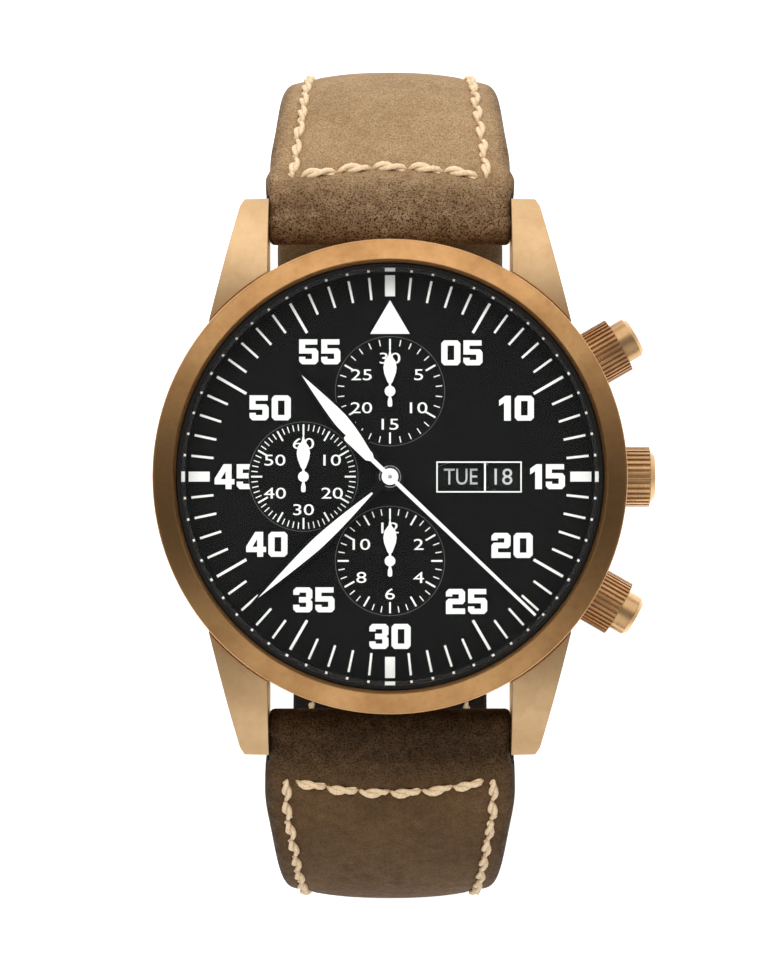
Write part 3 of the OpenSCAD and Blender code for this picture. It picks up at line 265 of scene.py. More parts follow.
def nubuckGroup():
    # brushed leather: clouded colour, light and dark specks, darker where it is rubbed along the edges and at the roll,
    # with painted shade at the roll and underneath, short nap in the bump
    net, given, out, coord = newGroup(
        "nubuck", Light=(176, 140, 98), Dark=(92, 66, 42), Burnt=(58, 36, 20), Contrast=0.6, Depth=0.5)
    cloud = net.noise(coord, 110, 4.0, 0.6)
    mottle = net.noise(coord, 900, 4.0, 0.7)
    pore = net.add("ShaderNodeTexVoronoi")
    pore.inputs["Scale"].default_value = 2600
    net.link(coord, pore.inputs["Vector"])
    fac = net.math("ADD", net.math("MULTIPLY", net.span(cloud, 0.3, 0.7), 0.6),
                   net.math("MULTIPLY", net.span(mottle, 0.3, 0.7), 0.45))
    fac = net.math("MULTIPLY", fac, given["Contrast"], clamp=True)
    color = net.mix(fac, given["Light"], given["Dark"])
    # the mask read here holds rubbed wear along the edges and painted shade at the roll and underneath
    rubbedAndShaded = net.add("ShaderNodeAttribute", attribute_name="burnishAndShade").outputs["Fac"]
    fine = net.noise(coord, 7000, 2.0, 0.7)
    color = net.mix(net.span(fine, 0.42, 0.66, 0.0, 0.6), color, given["Dark"])
    # where the mask is high the colour goes to the dark brown: painted shade at the roll and underneath, wear along the
    # edges
    wornAndShaded = net.math("MULTIPLY", rubbedAndShaded, net.span(mottle, 0.25, 0.7, 0.35, 0.7), clamp=True)
    color = net.mix(wornAndShaded, color, given["Burnt"])
    # dark specks crowd where the mask is high, deepening the painted shade near the roll
    speck = net.noise(coord, 5600, 2.0, 0.8)
    share = net.math("ADD", net.math("MULTIPLY", rubbedAndShaded, 0.62), 0.36)
    spots = net.math("MULTIPLY", net.span(speck, 0.5, 0.58), share, clamp=True)
    color = net.mix(spots, color, given["Burnt"])
    height = net.math("ADD", net.math("MULTIPLY", pore.outputs["Distance"], 0.5), net.math("MULTIPLY", mottle, 0.8))
    height = net.math("ADD", height, net.math("MULTIPLY", cloud, 1.4))
    normal = net.bump(height, given["Depth"], 0.00012)
    return closeGroup(net, out, color, net.span(mottle, 0.3, 0.7, 0.72, 0.95), normal)


def fineMetalGroup():
    # plated or steel movement parts: straight stripes, grain and rounded edges
    net, given, out, coord = newGroup(
        "fineMetal", Tone=(200, 200, 198), Shade=(150, 150, 150), Stripes=0.0, Polish=0.25, Grain=0.2)
    wave = net.add("ShaderNodeTexWave", wave_type="BANDS", bands_direction="X", wave_profile="SAW")
    setInputs(wave, {"Scale": 115, "Distortion": 0.0})
    net.link(coord, wave.inputs["Vector"])
    grain = net.noise(coord, 2600, 3.0, 0.6)
    shade = net.math("MULTIPLY", wave.outputs["Fac"], given["Stripes"])
    shade = net.math("ADD", shade, net.math("MULTIPLY", net.span(grain, 0.4, 0.8), 0.18), clamp=True)
    color = net.mix(shade, given["Tone"], given["Shade"])
    bevel = net.add("ShaderNodeBevel", samples=4)
    bevel.inputs["Radius"].default_value = 0.00005
    normal = net.bump(grain, given["Grain"], 0.00001, bevel.outputs[0])
    rough = net.math("ADD", given["Polish"], net.math("MULTIPLY", grain, 0.12), clamp=True)
    return closeGroup(net, out, color, rough, normal)


def paintGroup():
    # matt lacquer: faint grain in tone and height
    net, given, out, coord = newGroup("lacquer", Tone=(14, 14, 12), Other=(22, 22, 20), Rough=0.6, Grain=0.2)
    grain = net.noise(coord, 6000, 2.0, 0.6)
    color = net.mix(net.span(grain, 0.4, 0.7), given["Tone"], given["Other"])
    uneven = net.math("MULTIPLY", net.math("SUBTRACT", grain, 0.5), 0.2)
    rough = net.math("ADD", given["Rough"], uneven, clamp=True)
    return closeGroup(net, out, color, rough, net.bump(grain, given["Grain"], 0.00001))


groups = dict(bronze=bronzeGroup(), nubuck=nubuckGroup(), metal=fineMetalGroup(), paint=paintGroup())


def finish(name, group, values, sockets):
    # one material: a group's colour, roughness and normal on a Principled shader
    mat, net, shader = newMaterial(name)
    node = net.add("ShaderNodeGroup", node_tree=groups[group])
    setInputs(node, {key: rgb(*value) if isinstance(value, tuple) else value for key, value in values.items()})
    for source, target in (("Color", "Base Color"), ("Roughness", "Roughness"), ("Normal", "Normal")):
        net.link(node.outputs[source], shader.inputs[target])
    setInputs(shader, sockets)
    return mat


def glassFinish(name, tint):
    # clear to shadow rays and to soft light, so light reaches what lies under it
    mat, net, shader = newMaterial(name)
    setInputs(shader, {"Base Color": tint, "Roughness": 0.0, "Transmission Weight": 1.0, "IOR": 1.2,
                       "Specular IOR Level": 0.08})
    clear = net.add("ShaderNodeBsdfTransparent")
    clear.inputs["Color"].default_value = tint
    path = net.add("ShaderNodeLightPath")
    mixer = net.add("ShaderNodeMixShader")
    either = net.math("MAXIMUM", path.outputs["Is Shadow Ray"], path.outputs["Is Diffuse Ray"])
    for socket, value in zip(mixer.inputs, (either, shader.outputs[0], clear.outputs[0])):
        net.link(value, socket)
    net.link(mixer.outputs[0], mat.node_tree.nodes["Material Output"].inputs["Surface"])
    return mat


def shine(level):
    return {"Specular IOR Level": level}


metal = {"Metallic": 1.0}
# each finish: its group, the group's values and the shader's own
recipes = dict(
    caseBronze=("bronze", dict(
        Fresh=(226, 190, 144), Patina=(188, 146, 100), Amount=0.45, Polish=0.44, Lines=0.3), metal),
    bezelBronze=("bronze", dict(
        Fresh=(212, 164, 110), Patina=(150, 100, 56), Amount=0.6, Polish=0.3, Lines=0.35, Turned=1.0), metal),
    polishedBronze=("bronze", dict(
        Fresh=(218, 178, 130), Patina=(142, 100, 62), Amount=0.6, Polish=0.24, Lines=0.15), metal),
    darkBronze=("bronze", dict(
        Fresh=(206, 160, 112), Patina=(128, 88, 54), Amount=0.6, Polish=0.26, Lines=0.15), metal),
    blackRubber=("paint", dict(Tone=(12, 12, 12), Other=(20, 20, 20), Rough=0.5), shine(0.2)),
    dialBlack=("paint", dict(Tone=(8, 8, 8), Other=(13, 13, 12), Rough=0.6, Grain=0.3), shine(0.06)),
    rehautBlack=("paint", dict(Tone=(10, 10, 10), Other=(15, 15, 15), Rough=0.5, Grain=0.2), shine(0.15)),
    discBlack=("paint", dict(Tone=(12, 12, 12), Other=(18, 18, 18), Rough=0.55), shine(0.12)),
    blackGloss=("paint", dict(Tone=(18, 18, 20), Other=(24, 24, 26), Rough=0.14, Grain=0.05), {"Metallic": 0.6}),
    handWhite=("paint", dict(Tone=(246, 246, 240), Other=(238, 238, 232), Rough=0.4, Grain=0.1), {}),
    lume=("paint", dict(Tone=(252, 253, 244), Other=(244, 246, 234), Rough=0.7, Grain=0.6), {}),
    print=("paint", dict(Tone=(246, 246, 240), Other=(240, 240, 234), Rough=0.6), {}),
    rimGrey=("paint", dict(Tone=(74, 74, 72), Other=(60, 60, 58), Rough=0.6), {}),
    greyPrint=("paint", dict(Tone=(206, 208, 206), Other=(196, 198, 196), Rough=0.6), {}),
    steel=("metal", dict(Polish=0.22), metal),
    plate=("metal", dict(Tone=(214, 212, 206), Shade=(168, 166, 160), Stripes=0.6, Polish=0.26), metal),
    gilt=("metal", dict(Tone=(226, 190, 116), Shade=(178, 138, 70), Polish=0.24), metal),
    blued=("metal", dict(Tone=(40, 62, 150), Shade=(20, 34, 96), Polish=0.16), metal),
    ruby=("paint", dict(Tone=(170, 18, 52), Other=(150, 12, 44), Rough=0.08, Grain=0.0), {"Coat Weight": 0.6}),
    tanNubuck=("nubuck", dict(Light=(188, 158, 120), Dark=(114, 84, 52), Burnt=(54, 30, 12), Contrast=0.6), shine(0.2)),
    # a darker copy of the tan nubuck: painted shade where the six o'clock piece faces away from the key light; the
    # keepers share it
    brownNubuck=("nubuck", dict(Light=(114, 86, 55), Dark=(64, 45, 26), Burnt=(24, 14, 6), Contrast=0.7), shine(0.2)),
    lining=("nubuck", dict(Light=(34, 29, 26), Dark=(18, 15, 14), Contrast=0.8, Depth=0.3), shine(0.2)),
    thread=("paint", dict(Tone=(234, 208, 172), Other=(204, 174, 136), Rough=0.7, Grain=0.8), {}),
)
finishes = {name: finish(name, *recipe) for name, recipe in recipes.items()}
finishes["sapphire"] = glassFinish("sapphire", (0.99, 1.0, 1.0, 1))

# the frame's nodes that each finish goes on
coated = dict(
    caseBronze="case_middle case_back crown_tube pusher_tubes buckle_frame", bezelBronze="bezel",
    polishedBronze="crown upper_pusher lower_pusher buckle_tongue", darkBronze="upper_collar lower_collar",
    sapphire="crystal back_crystal", blackRubber="crystal_gasket case_back_gasket", rehautBlack="rehaut",
    dialBlack="dial", discBlack="day_disc date_ring", blackGloss="hour_hand minute_hand", lume="hour_lume minute_lume",
    handWhite="chrono_seconds_hand minute_counter_hand hour_counter_hand running_seconds_hand",
    steel="winding_stem winding_pinion movement_ring ratchet_wheel cannon_pinion hour_wheel escape_wheel pallet_fork "
          "chrono_runner rotor_bearing spring_bars",
    plate="main_plate train_bridge pallet_bridge balance_cock automatic_bridge rotor",
    gilt="barrel centre_wheel minute_wheel third_wheel fourth_wheel balance_wheel", blued="hairspring movement_screws",
    ruby="jewels",
)
for finishName, nodeNames in coated.items():
    for nodeName in nodeNames.split():
        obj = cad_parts[nodeName]
        for slot in obj.material_slots:
            slot.material = finishes[finishName]
        if not obj.material_slots:
            obj.data.materials.append(finishes[finishName])
print("finishes on the frame's nodes")


def addMesh(name, points, faces, finishName, more=(), mirrored=False, smooth=True):
    # points in mm and faces as an array or lists; a mirrored piece lies on the six o'clock side
    points = np.array(points, float) * mm
    faces = (faces.tolist() if isinstance(faces, np.ndarray) else list(faces)) + list(more)
    if mirrored:
        points[:, 1] *= -1
        faces = [face[::-1] for face in faces]
    mesh = bpy.data.meshes.new(name)
    mesh.from_pydata(points.tolist(), [], faces)
    mesh.polygons.foreach_set("use_smooth", np.full(len(mesh.polygons), smooth))
    mesh.materials.append(finishes[finishName])
    mesh.update()
    return place(bpy.data.objects.new(name, mesh))


def gridFaces(rows, cols, wrapRows=False, wrapCols=False):
    # quads of a rows x cols grid of points, either way closed on itself or open
    i = np.arange(rows if wrapRows else rows - 1)
    j = np.arange(cols if wrapCols else cols - 1)
    i, j = np.meshgrid(i, j, indexing="ij")
    i2, j2 = (i + 1) % rows, (j + 1) % cols
    return np.stack([i * cols + j, i2 * cols + j, i2 * cols + j2, i * cols + j2], -1).reshape(-1, 4)


def shownMesh(obj):
    # the mesh that an object's curve or modifiers give
    bpy.context.view_layer.update()
    return bpy.data.meshes.new_from_object(obj.evaluated_get(bpy.context.evaluated_depsgraph_get()))


def meshPoints(mesh):
    flat = np.empty(len(mesh.vertices) * 3)
    mesh.vertices.foreach_get("co", flat)
    return flat.reshape(-1, 3)


def flatShapes(name, loops, low, high, finishName):
    # outlines in the plane, holes where one lies in another, given a thickness
    curve = bpy.data.curves.new(name, "CURVE")
    curve.dimensions = "2D"
    curve.fill_mode = "BOTH"
    curve.extrude = (high - low) / 2
    for loop in loops:
        spline = curve.splines.new("POLY")
        spline.points.add(len(loop) - 1)
        flat = np.zeros((len(loop), 4))
        flat[:, :2] = loop
        flat[:, 3] = 1
        spline.points.foreach_set("co", flat.ravel())
        spline.use_cyclic_u = True
    temp = place(bpy.data.objects.new(name + "Curve", curve))
    mesh = shownMesh(temp)
    bpy.data.objects.remove(temp)
    bpy.data.curves.remove(curve)
    mesh.vertices.foreach_set("co", ((meshPoints(mesh) + [0, 0, (low + high) / 2]) * mm).ravel())
    mesh.materials.clear()
    mesh.materials.append(finishes[finishName])
    mesh.update()
    mesh.name = name
    return place(bpy.data.objects.new(name, mesh))


def carve(piece, points, polys, smooth=True):
    # takes a closed block, its faces turned outwards, away from a piece for good
    cutter = addMesh("cutter", points, polys, "lining", smooth=smooth)
    bm = bmesh.new()
    bm.from_mesh(cutter.data)
    bmesh.ops.recalc_face_normals(bm, faces=bm.faces[:])
    bm.to_mesh(cutter.data)
    bm.free()
    modifier = piece.modifiers.new("carve", "BOOLEAN")
    modifier.object = cutter
    modifier.operation = "DIFFERENCE"
    modifier.solver = "EXACT"
    cut = shownMesh(piece)
    piece.modifiers.clear()
    cut.name = piece.data.name
    piece.data = cut
    bpy.data.objects.remove(cutter)


fullTurn = np.linspace(0, 2 * np.pi, 97)[:-1]
dial = dict(
    top=9.95, recess=9.8, sunk=0.004, trackHigh=0.02, numeralHigh=0.05, numeralTall=2.25, numeralWide=1.72,
    minuteTick=(16.0, 18.0, 0.21), fiveTick=(14.95, 18.0, 0.25), quarterBar=(16.25, 18.15, 0.9),
    triangle=dict(base=12.87, apex=15.9, half=1.78),
)
smallDials = dict(
    minutes=dict(at=(0, 7.7), divisions=30, every=5, labelEvery=1, unit=5),
    seconds=dict(at=(-7.8, 0), divisions=60, every=5, labelEvery=2, unit=5),
    hours=dict(at=(0, -7.6), divisions=36, every=3, labelEvery=2, unit=1),
)
smallPrint = dict(
    outer=4.72, major=(3.72, 0.16), minor=(4.15, 0.09), high=0.015, labelAt=2.98, labelSize=1.42, labelStretch=1.45,
    rim=(4.9, 4.96), rimHigh=0.006, clear=(4.95, 9.5, 10.5),
)
# left, right, low and high edges of the window's frame and its two openings
window = dict(
    frame=(4.18, 11.87, -1.43, 1.37), openings=((4.3, 8.48, -1.31, 1.25), (8.64, 11.75, -1.31, 1.25)), high=0.03)
# the guard lies just outside the day disc, between two angles
guard = dict(inner=6.04, outer=6.9, sweep=(1.5, 2.4), steps=16, low=8.72, high=8.78)
calendar = dict(
    dayCenter=(6.8, -4.6), dayRadius=4.62, dayAngle=95.0, dayTop=8.85, dayWidest=3.05,
    dateRadius=10.25, dateTop=9.25, dateWidest=2.3, firstDate=18, dates=31, size=2.1,
)
numeralPlaces = {
    "05": (6.48, 11.16), "10": (11.4, 6.17), "15": (14.2, 0), "20": (11.0, -6.2), "25": (6.9, -11.25), "30": (0, -14.4),
    "35": (-6.86, -11.1), "40": (-11.1, -6.1), "45": (-13.95, 0), "50": (-10.8, 6.2), "55": (-6.33, 11.25)}
# digits drawn on a 4 by 5 square
zero = [[(0, .6), (.6, 0), (3.4, 0), (4, .6), (4, 4.4), (3.4, 5), (.6, 5), (0, 4.4)],
        [(1.3, 1.05), (1.3, 3.95), (2.7, 3.95), (2.7, 1.05)]]
six = [[(0, .6), (.6, 0), (3.4, 0), (4, .6), (4, 2.6), (3.5, 3.15), (1.3, 3.15), (1.3, 3.95), (3.8, 3.95), (3.8, 5),
        (.6, 5), (0, 4.4)], [(1.3, 1.05), (1.3, 2.15), (2.7, 2.15), (2.7, 1.05)]]
digits = {
    "0": zero,
    "1": [[(1.25, 0), (2.65, 0), (2.65, 5), (1.5, 5), (.2, 4.1), (.2, 2.95), (1.25, 3.6)]],
    "2": [[(0, 0), (4, 0), (4, 1.1), (1.35, 1.1), (1.35, 1.95), (3.5, 1.95), (4, 2.5), (4, 4.4), (3.4, 5), (.6, 5),
           (0, 4.4), (0, 3.5), (1.3, 3.5), (1.3, 3.95), (2.7, 3.95), (2.7, 3.05), (.5, 3.05), (0, 2.5)]],
    "3": [[(0, .6), (.6, 0), (3.4, 0), (4, .6), (4, 2.1), (3.6, 2.5), (4, 2.9), (4, 4.4), (3.4, 5), (.6, 5), (0, 4.4),
           (0, 3.5), (1.3, 3.5), (1.3, 3.95), (2.7, 3.95), (2.7, 3.05), (1.2, 3.05), (1.2, 1.95), (2.7, 1.95),
           (2.7, 1.05), (1.3, 1.05), (1.3, 1.5), (0, 1.5)]],
    "4": [[(2.3, 0), (3.55, 0), (3.55, .95), (4.15, .95), (4.15, 2.0), (3.55, 2.0), (3.55, 5), (1.9, 5), (0, 2.1),
           (0, .95), (2.3, .95)], [(1.3, 2.0), (2.3, 3.6), (2.3, 2.0)]],
    "5": [[(0, .6), (.6, 0), (3.4, 0), (4, .6), (4, 2.6), (3.5, 3.2), (1.25, 3.2), (1.25, 3.95), (3.8, 3.95), (3.8, 5),
           (0, 5), (0, 2.15), (2.7, 2.15), (2.7, 1.05), (1.3, 1.05), (1.3, 1.5), (0, 1.5)]],
    "6": six,
    "7": [[(0, 5), (4, 5), (4, 4.0), (2.3, 0), (.9, 0), (2.55, 3.9), (0, 3.9)]],
    "8": [[(0, .6), (.6, 0), (3.4, 0), (4, .6), (4, 2.1), (3.6, 2.5), (4, 2.9), (4, 4.4), (3.4, 5), (.6, 5), (0, 4.4),
           (0, 2.9), (.4, 2.5), (0, 2.1)], [(1.3, 1.05), (1.3, 1.95), (2.7, 1.95), (2.7, 1.05)],
          [(1.3, 3.05), (1.3, 3.95), (2.7, 3.95), (2.7, 3.05)]],
    "9": [[(4 - x, 5 - y) for x, y in loop] for loop in six],
}


def numberLoops(text, center, high, wide, gap=0.16):
    # a one takes less room than the other digits
    loops = []
    starts, total = [], -gap * wide
    for char in text:
        narrow = 0.34 if char == "1" else 0.0
        starts.append(total + (gap - narrow * 0.15) * wide)
        total += (1 + gap - narrow) * wide
    for left, char in zip(starts, text):
        x0, y0 = center[0] - total / 2 + left, center[1] - high / 2
        loops += [[(x0 + x / 4 * wide, y0 + y / 5 * high) for x, y in loop] for loop in digits[char]]
    return loops


def polarBox(angle, inner, outer, width, center=(0, 0)):
    # a mark from inner to outer radius, its angle clockwise from the top in degrees
    a = math.radians(90 - angle)
    along, across = np.array([math.cos(a), math.sin(a)]), np.array([-math.sin(a), math.cos(a)])
    c = np.array(center)
    return [tuple(c + along * r + across * w) for r, w in
            ((inner, -width / 2), (outer, -width / 2), (outer, width / 2), (inner, width / 2))]


def circlePoints(center, radius, angles=fullTurn):
    return [(center[0] + radius * math.cos(a), center[1] + radius * math.sin(a)) for a in angles]


def printed(name, loops, level, high, finishName="print"):
    # flat paint that starts a hair inside the face under it
    return flatShapes(name, loops, level - dial["sunk"], level + high, finishName)


def clearNumerals(numerals):
    # the running seconds dial cuts into the numeral beside it
    radius, low, high = smallPrint["clear"]
    ring = np.array(circlePoints(smallDials["seconds"]["at"], radius))
    n = len(ring)
    points = np.vstack([np.c_[ring, np.full(n, low)], np.c_[ring, np.full(n, high)]])
    walls = [(i, (i + 1) % n, n + (i + 1) % n, n + i) for i in range(n)]
    carve(numerals, points, [tuple(range(n))[::-1], tuple(range(n, 2 * n))] + walls, smooth=False)


def dialPrint():
    marks = []
    for k in range(60):
        kind = "quarterBar" if k % 15 == 0 else "fiveTick" if k % 5 == 0 else "minuteTick"
        marks.append(polarBox(6 * k, *dial[kind]))
    t = dial["triangle"]
    marks.append([(-t["half"], t["base"]), (t["half"], t["base"]), (0, t["apex"])])
    track = printed("minuteTrack", marks, dial["top"], dial["trackHigh"])
    loops = [loop for text, at in numeralPlaces.items()
             for loop in numberLoops(text, at, dial["numeralTall"], dial["numeralWide"])]
    numerals = printed("dialNumerals", loops, dial["top"], dial["numeralHigh"])
    clearNumerals(numerals)
    pieces = [track, numerals]
    small = smallPrint
    for name, spec in smallDials.items():
        marks, labels = [], []
        for k in range(spec["divisions"]):
            inner, width = small["minor" if k % spec["every"] else "major"]
            marks.append(polarBox(360 * k / spec["divisions"], inner, small["outer"], width, spec["at"]))
        majors = spec["divisions"] // spec["every"]
        for k in range(spec["labelEvery"], majors + 1, spec["labelEvery"]):
            at = circlePoints(spec["at"], small["labelAt"], [math.radians(90 - 360 * k / majors)])[0]
            labels.append((str(k * spec["unit"]), small["labelSize"], 0.0, at))
        pieces.append(printed(name + "Track", marks, dial["recess"], small["high"]))
        pieces.append(wordsPiece(name + "Numbers", labels, dial["recess"], "print", small["labelStretch"]))
    for name, spec in smallDials.items():
        rims = [circlePoints(spec["at"], r) for r in small["rim"]]
        pieces.append(printed(name + "Rim", rims, dial["top"], small["rimHigh"], "rimGrey"))
    sweep = np.linspace(*guard["sweep"], guard["steps"])
    edge = (circlePoints(calendar["dayCenter"], guard["inner"], sweep)
            + circlePoints(calendar["dayCenter"], guard["outer"], sweep[::-1]))
    pieces.append(flatShapes("discGuard", [edge], guard["low"], guard["high"], "discBlack"))
    openings = [box(*edges) for edges in window["openings"]]
    pieces.append(printed("windowFrame", [box(*window["frame"])] + openings, dial["top"], window["high"]))
    for piece in pieces:
        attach(piece, "case")


def wordMesh(text, size, turn, at, z, stretch, widest):
    # thin lettering from the built-in font, widened, turned about its own middle and set in place
    curve = bpy.data.curves.new("word", "FONT")
    curve.body = text
    curve.size = size
    curve.align_x = "CENTER"
    curve.align_y = "CENTER"
    curve.extrude = 0.008
    curve.resolution_u = 4
    temp = place(bpy.data.objects.new("word", curve))
    mesh = shownMesh(temp)
    bpy.data.objects.remove(temp)
    co = meshPoints(mesh)
    co[:, :2] -= (co[:, :2].max(0) + co[:, :2].min(0)) / 2
    co[:, 0] *= min(stretch, widest / np.ptp(co[:, 0]))
    c, s = math.cos(turn), math.sin(turn)
    moved = np.c_[co[:, 0] * c - co[:, 1] * s + at[0], co[:, 0] * s + co[:, 1] * c + at[1], co[:, 2] + z]
    faces = [tuple(p.vertices) for p in mesh.polygons]
    bpy.data.meshes.remove(mesh)
    return moved, faces


def wordsPiece(name, words, z, finishName, stretch=1.0, widest=99.0):
    # many words as one mesh: each is text, size, turn and place
    points, faces, base = [], [], 0
    for text, size, turn, at in words:
        wordPoints, wordFaces = wordMesh(text, size, turn, at, z + 0.005, stretch, widest)
        points.append(wordPoints)
        faces.extend(tuple(i + base for i in f) for f in wordFaces)
        base += len(wordPoints)
    return addMesh(name, np.vstack(points), faces, finishName, smooth=False)


def calendarPrint():
    # a word every seventh of the day disc and a number every thirty-first of the date ring
    c = calendar
    days, dates = [], []
    for k, word in enumerate(("TUE", "WED", "THU", "FRI", "SAT", "SUN", "MON")):
        a = math.radians(c["dayAngle"] - 360 * k / 7)
        at = circlePoints(c["dayCenter"], c["dayRadius"], [a])[0]
        days.append((word, c["size"], a - math.radians(c["dayAngle"]), at))
    for k in range(c["dates"]):
        a = 2 * math.pi * k / c["dates"]
        date = (c["firstDate"] - 1 + k) % c["dates"] + 1
        dates.append((str(date), c["size"], a, circlePoints((0, 0), c["dateRadius"], [a])[0]))
    for name, words, z, body, widest in (("dayNames", days, c["dayTop"], "day", c["dayWidest"]),
                                         ("dateNumbers", dates, c["dateTop"], "date", c["dateWidest"])):
        piece = wordsPiece(name, words, z, "greyPrint", 1.0, widest)
        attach(piece, body)


dialPrint()
calendarPrint()
print("dial print")

strap = dict(
    bar=(23.15, 4.2), loop=-39.9, pin=5.0, ramp=18, tailTurn=-46, columns=81,
    halfTop=11.05, halfEnd=10.15, widthEnd=20.4, easeFrom=-20, bulge=(0.22, 8, 3.5), swellFrom=(2.2, 4.4),
    thin=2.4, pad=4.4, padRun=45, padPower=1.5, lining=0.8, liningFrom=4, liningShort=3, layerGap=0.44,
    rollRadius=1.85, rollFade=2.4, sag=0.72, sagPower=2.4, groove=0.2, grooveWide=0.5, rowWide=0.55,
    edge=0.9, lowEdge=0.5, pinGap=0.1,
)
# rows along the shell: sparse, then close near the case, round the bar and round the pin
rowsOf = dict(closeFrom=14, sparse=190, close=80, bar=28, pin=20, lining=220)
# how deep the darker colour goes: rubbed wear and painted shade from the roll, rubbed wear along the edges, and painted
# shade underneath
rubAndShade = dict(roll=(0.3, 6.2), edge=0.75, edgeWide=0.9, under=0.9)
cuts = dict(notch=(2.7, 7.0, 8.0), notchFrom=4, radius=1.1, pitch=6.5, back=6.6, slotBack=2.5, slotLength=4.4, deep=3,
            sides=32, first=-2, last=4, liningGrow=0.4)
sides = dict(
    twelve=dict(bend=[(35.5, -28), (18, -32)], heading=-30, mirrored=False, inset=2.5, seam=5.15, bow=0.95, row=5,
                threadShort=8, swell=(0.42, 4.6, 6.5), leather="tanNubuck"),
    six=dict(bend=[(35.5, -29), (17.5, -35)], heading=-26, mirrored=True, inset=2.05, seam=5.7, bow=1.2, row=6,
             threadShort=12, swell=(0.44, 6.0, 27.0), leather="brownNubuck"),
)
stitch = dict(pitch=2.75, gap=0.06, strand=0.27, coil=0.23, sink=0.2, rise=0.46, turns=0.9, rings=8, around=5,
              vary=0.02, slant=(0.14, 0.04), spin=0.5, rowShort=0.35, under=0.12)
keepers = dict(clear=0.5, wall=1.1, wide=5.0, round=120, across=24, corner=2 / 7, soft=0.45, fixedAt=11.5,
               freeTurn=18.5)
tailDrop = strap["thin"] + strap["layerGap"]


def trace(start, path):
    # the point and heading at the start of each stretch, and the length run up to it
    points, runs = [start], [0.0]
    for size, turn in path:
        y, z, heading = points[-1]
        chord = size if turn == 0 else 2 * size * abs(math.sin(math.radians(turn / 2)))
        middle = math.radians(heading + turn / 2)
        points.append((y + chord * math.cos(middle), z + chord * math.sin(middle), heading + turn))
        runs.append(runs[-1] + (size if turn == 0 else size * abs(turn) * math.pi / 180))
    return np.array(points), np.array(runs)


for side in sides.values():
    side["start"] = (*strap["bar"], side["heading"])
    side["low"] = trace(side["start"], side["bend"])[0][-1]
twelveR, sixR = (sides[name]["low"][1] - strap["loop"] for name in ("twelve", "six"))
turnY, turnZ = sides["twelve"]["low"][0] - twelveR, strap["loop"] + twelveR
rampR = tailDrop / 2 / (1 - math.cos(math.radians(strap["ramp"])))
rampRun = 2 * rampR * math.sin(math.radians(strap["ramp"]))
flatRun = (turnY - strap["pin"], 0)
sides["twelve"]["path"] = sides["twelve"]["bend"] + [(twelveR, -90), flatRun]
sides["six"]["path"] = sides["six"]["bend"] + [
    (sixR, -90), (sides["six"]["low"][0] - sixR + strap["pin"] - rampRun, 0), (rampR, strap["ramp"]),
    (rampR, -strap["ramp"]), flatRun, (twelveR + tailDrop, strap["tailTurn"])]
for side in sides.values():
    side["points"], side["runs"] = trace(side["start"], side["path"])
    side["length"] = side["runs"][-1]


def pathArrays(side, s):
    # each length s falls in one stretch: from its start, a chord at the heading plus half the turn made so far
    size, turn = np.array(side["path"], float).T
    k = np.clip(np.searchsorted(side["runs"], s, side="right") - 1, 0, len(size) - 1)
    part = (s - side["runs"][k]) / np.diff(side["runs"])[k]
    turned = turn[k] * part
    chord = np.where(turn[k] == 0, size[k] * part, 2 * size[k] * np.sin(np.radians(np.abs(turned) / 2)))
    y, z, heading = side["points"][k].T
    middle = np.radians(heading + turned / 2)
    last = np.radians(heading + turned)
    return y + chord * np.cos(middle), z + chord * np.sin(middle), np.cos(last), np.sin(last)


def smooth(value, low, high):
    t = np.clip((np.asarray(value, float) - low) / (high - low), 0, 1)
    return t * t * (3 - 2 * t)


def hump(value, wide):
    return np.exp(-(value / wide) ** 2)


def quarterRound(inset):
    # how far a round edge falls, as a share of its radius
    return 1 - np.sqrt(np.clip(1 - inset ** 2, 0, 1))


def halfWidth(side, z, s):
    # held between the lugs, swelling just past them, eased down to the buckle's width
    more, low, high = side["swell"]
    bulge, at, wide = strap["bulge"]
    return (strap["halfEnd"] + (strap["halfTop"] - strap["halfEnd"]) * smooth(z, strap["easeFrom"], strap["bar"][1])
            + bulge * hump(s - at, wide) + more * smooth(s, *strap["swellFrom"]) * (1 - smooth(s, low, high)))


def tipWidth(side, half, s):
    # the long piece ends in a round tip, the short one square at its bar
    if not side["mirrored"]:
        return half
    r = strap["widthEnd"] / 2
    return half * np.sqrt(np.clip(1 - np.clip(1 - (side["length"] - s) / r, 0, 1) ** 2, 0.0005, None))


def thickness(s):
    # padded behind the roll, thin at the buckle, drawn in to the roll at the bar
    left = np.maximum(0, 1 - s / strap["padRun"]) ** strap["padPower"]
    padded = strap["thin"] + (strap["pad"] - strap["thin"]) * left
    near = hump(s, strap["rollFade"])
    return padded * (1 - near) + 2 * strap["rollRadius"] * near


def crossRow(side, x):
    # length along the strap of the row that closes the roll, bowed away from the case
    return side["seam"] - side["bow"] * (x / (strap["halfTop"] - side["inset"])) ** 2


def topHeight(side, x, half, s):
    # half the thickness, less a crown's fall to the sides, the sewn grooves and rounded edges
    t = thickness(s) / 2
    line = np.maximum(half - side["inset"], 0.4 * half)
    away = smooth(s, 2, 9)
    rest = 1 - smooth(s, 40, 60)
    fall = strap["sag"] * (0.25 + 0.75 * away) * (0.2 + 0.8 * rest) * (np.abs(x) / line) ** strap["sagPower"]
    seam = crossRow(side, x)
    groove = hump(np.abs(x) - line, strap["grooveWide"]) * smooth(s - seam, -0.6, 0.4)
    cross = hump(s - seam, strap["rowWide"]) * (1 - smooth(np.abs(x) - line, -0.2, 0.6))
    sewn = strap["groove"] * np.maximum(groove * (0.6 + 0.4 * rest), cross * 1.3)
    edge = np.minimum(strap["edge"], t * 0.8)
    inset = np.clip((np.abs(x) - (half - edge)) / edge, 0, 1)
    return t - fall - sewn - edge * quarterRound(inset)


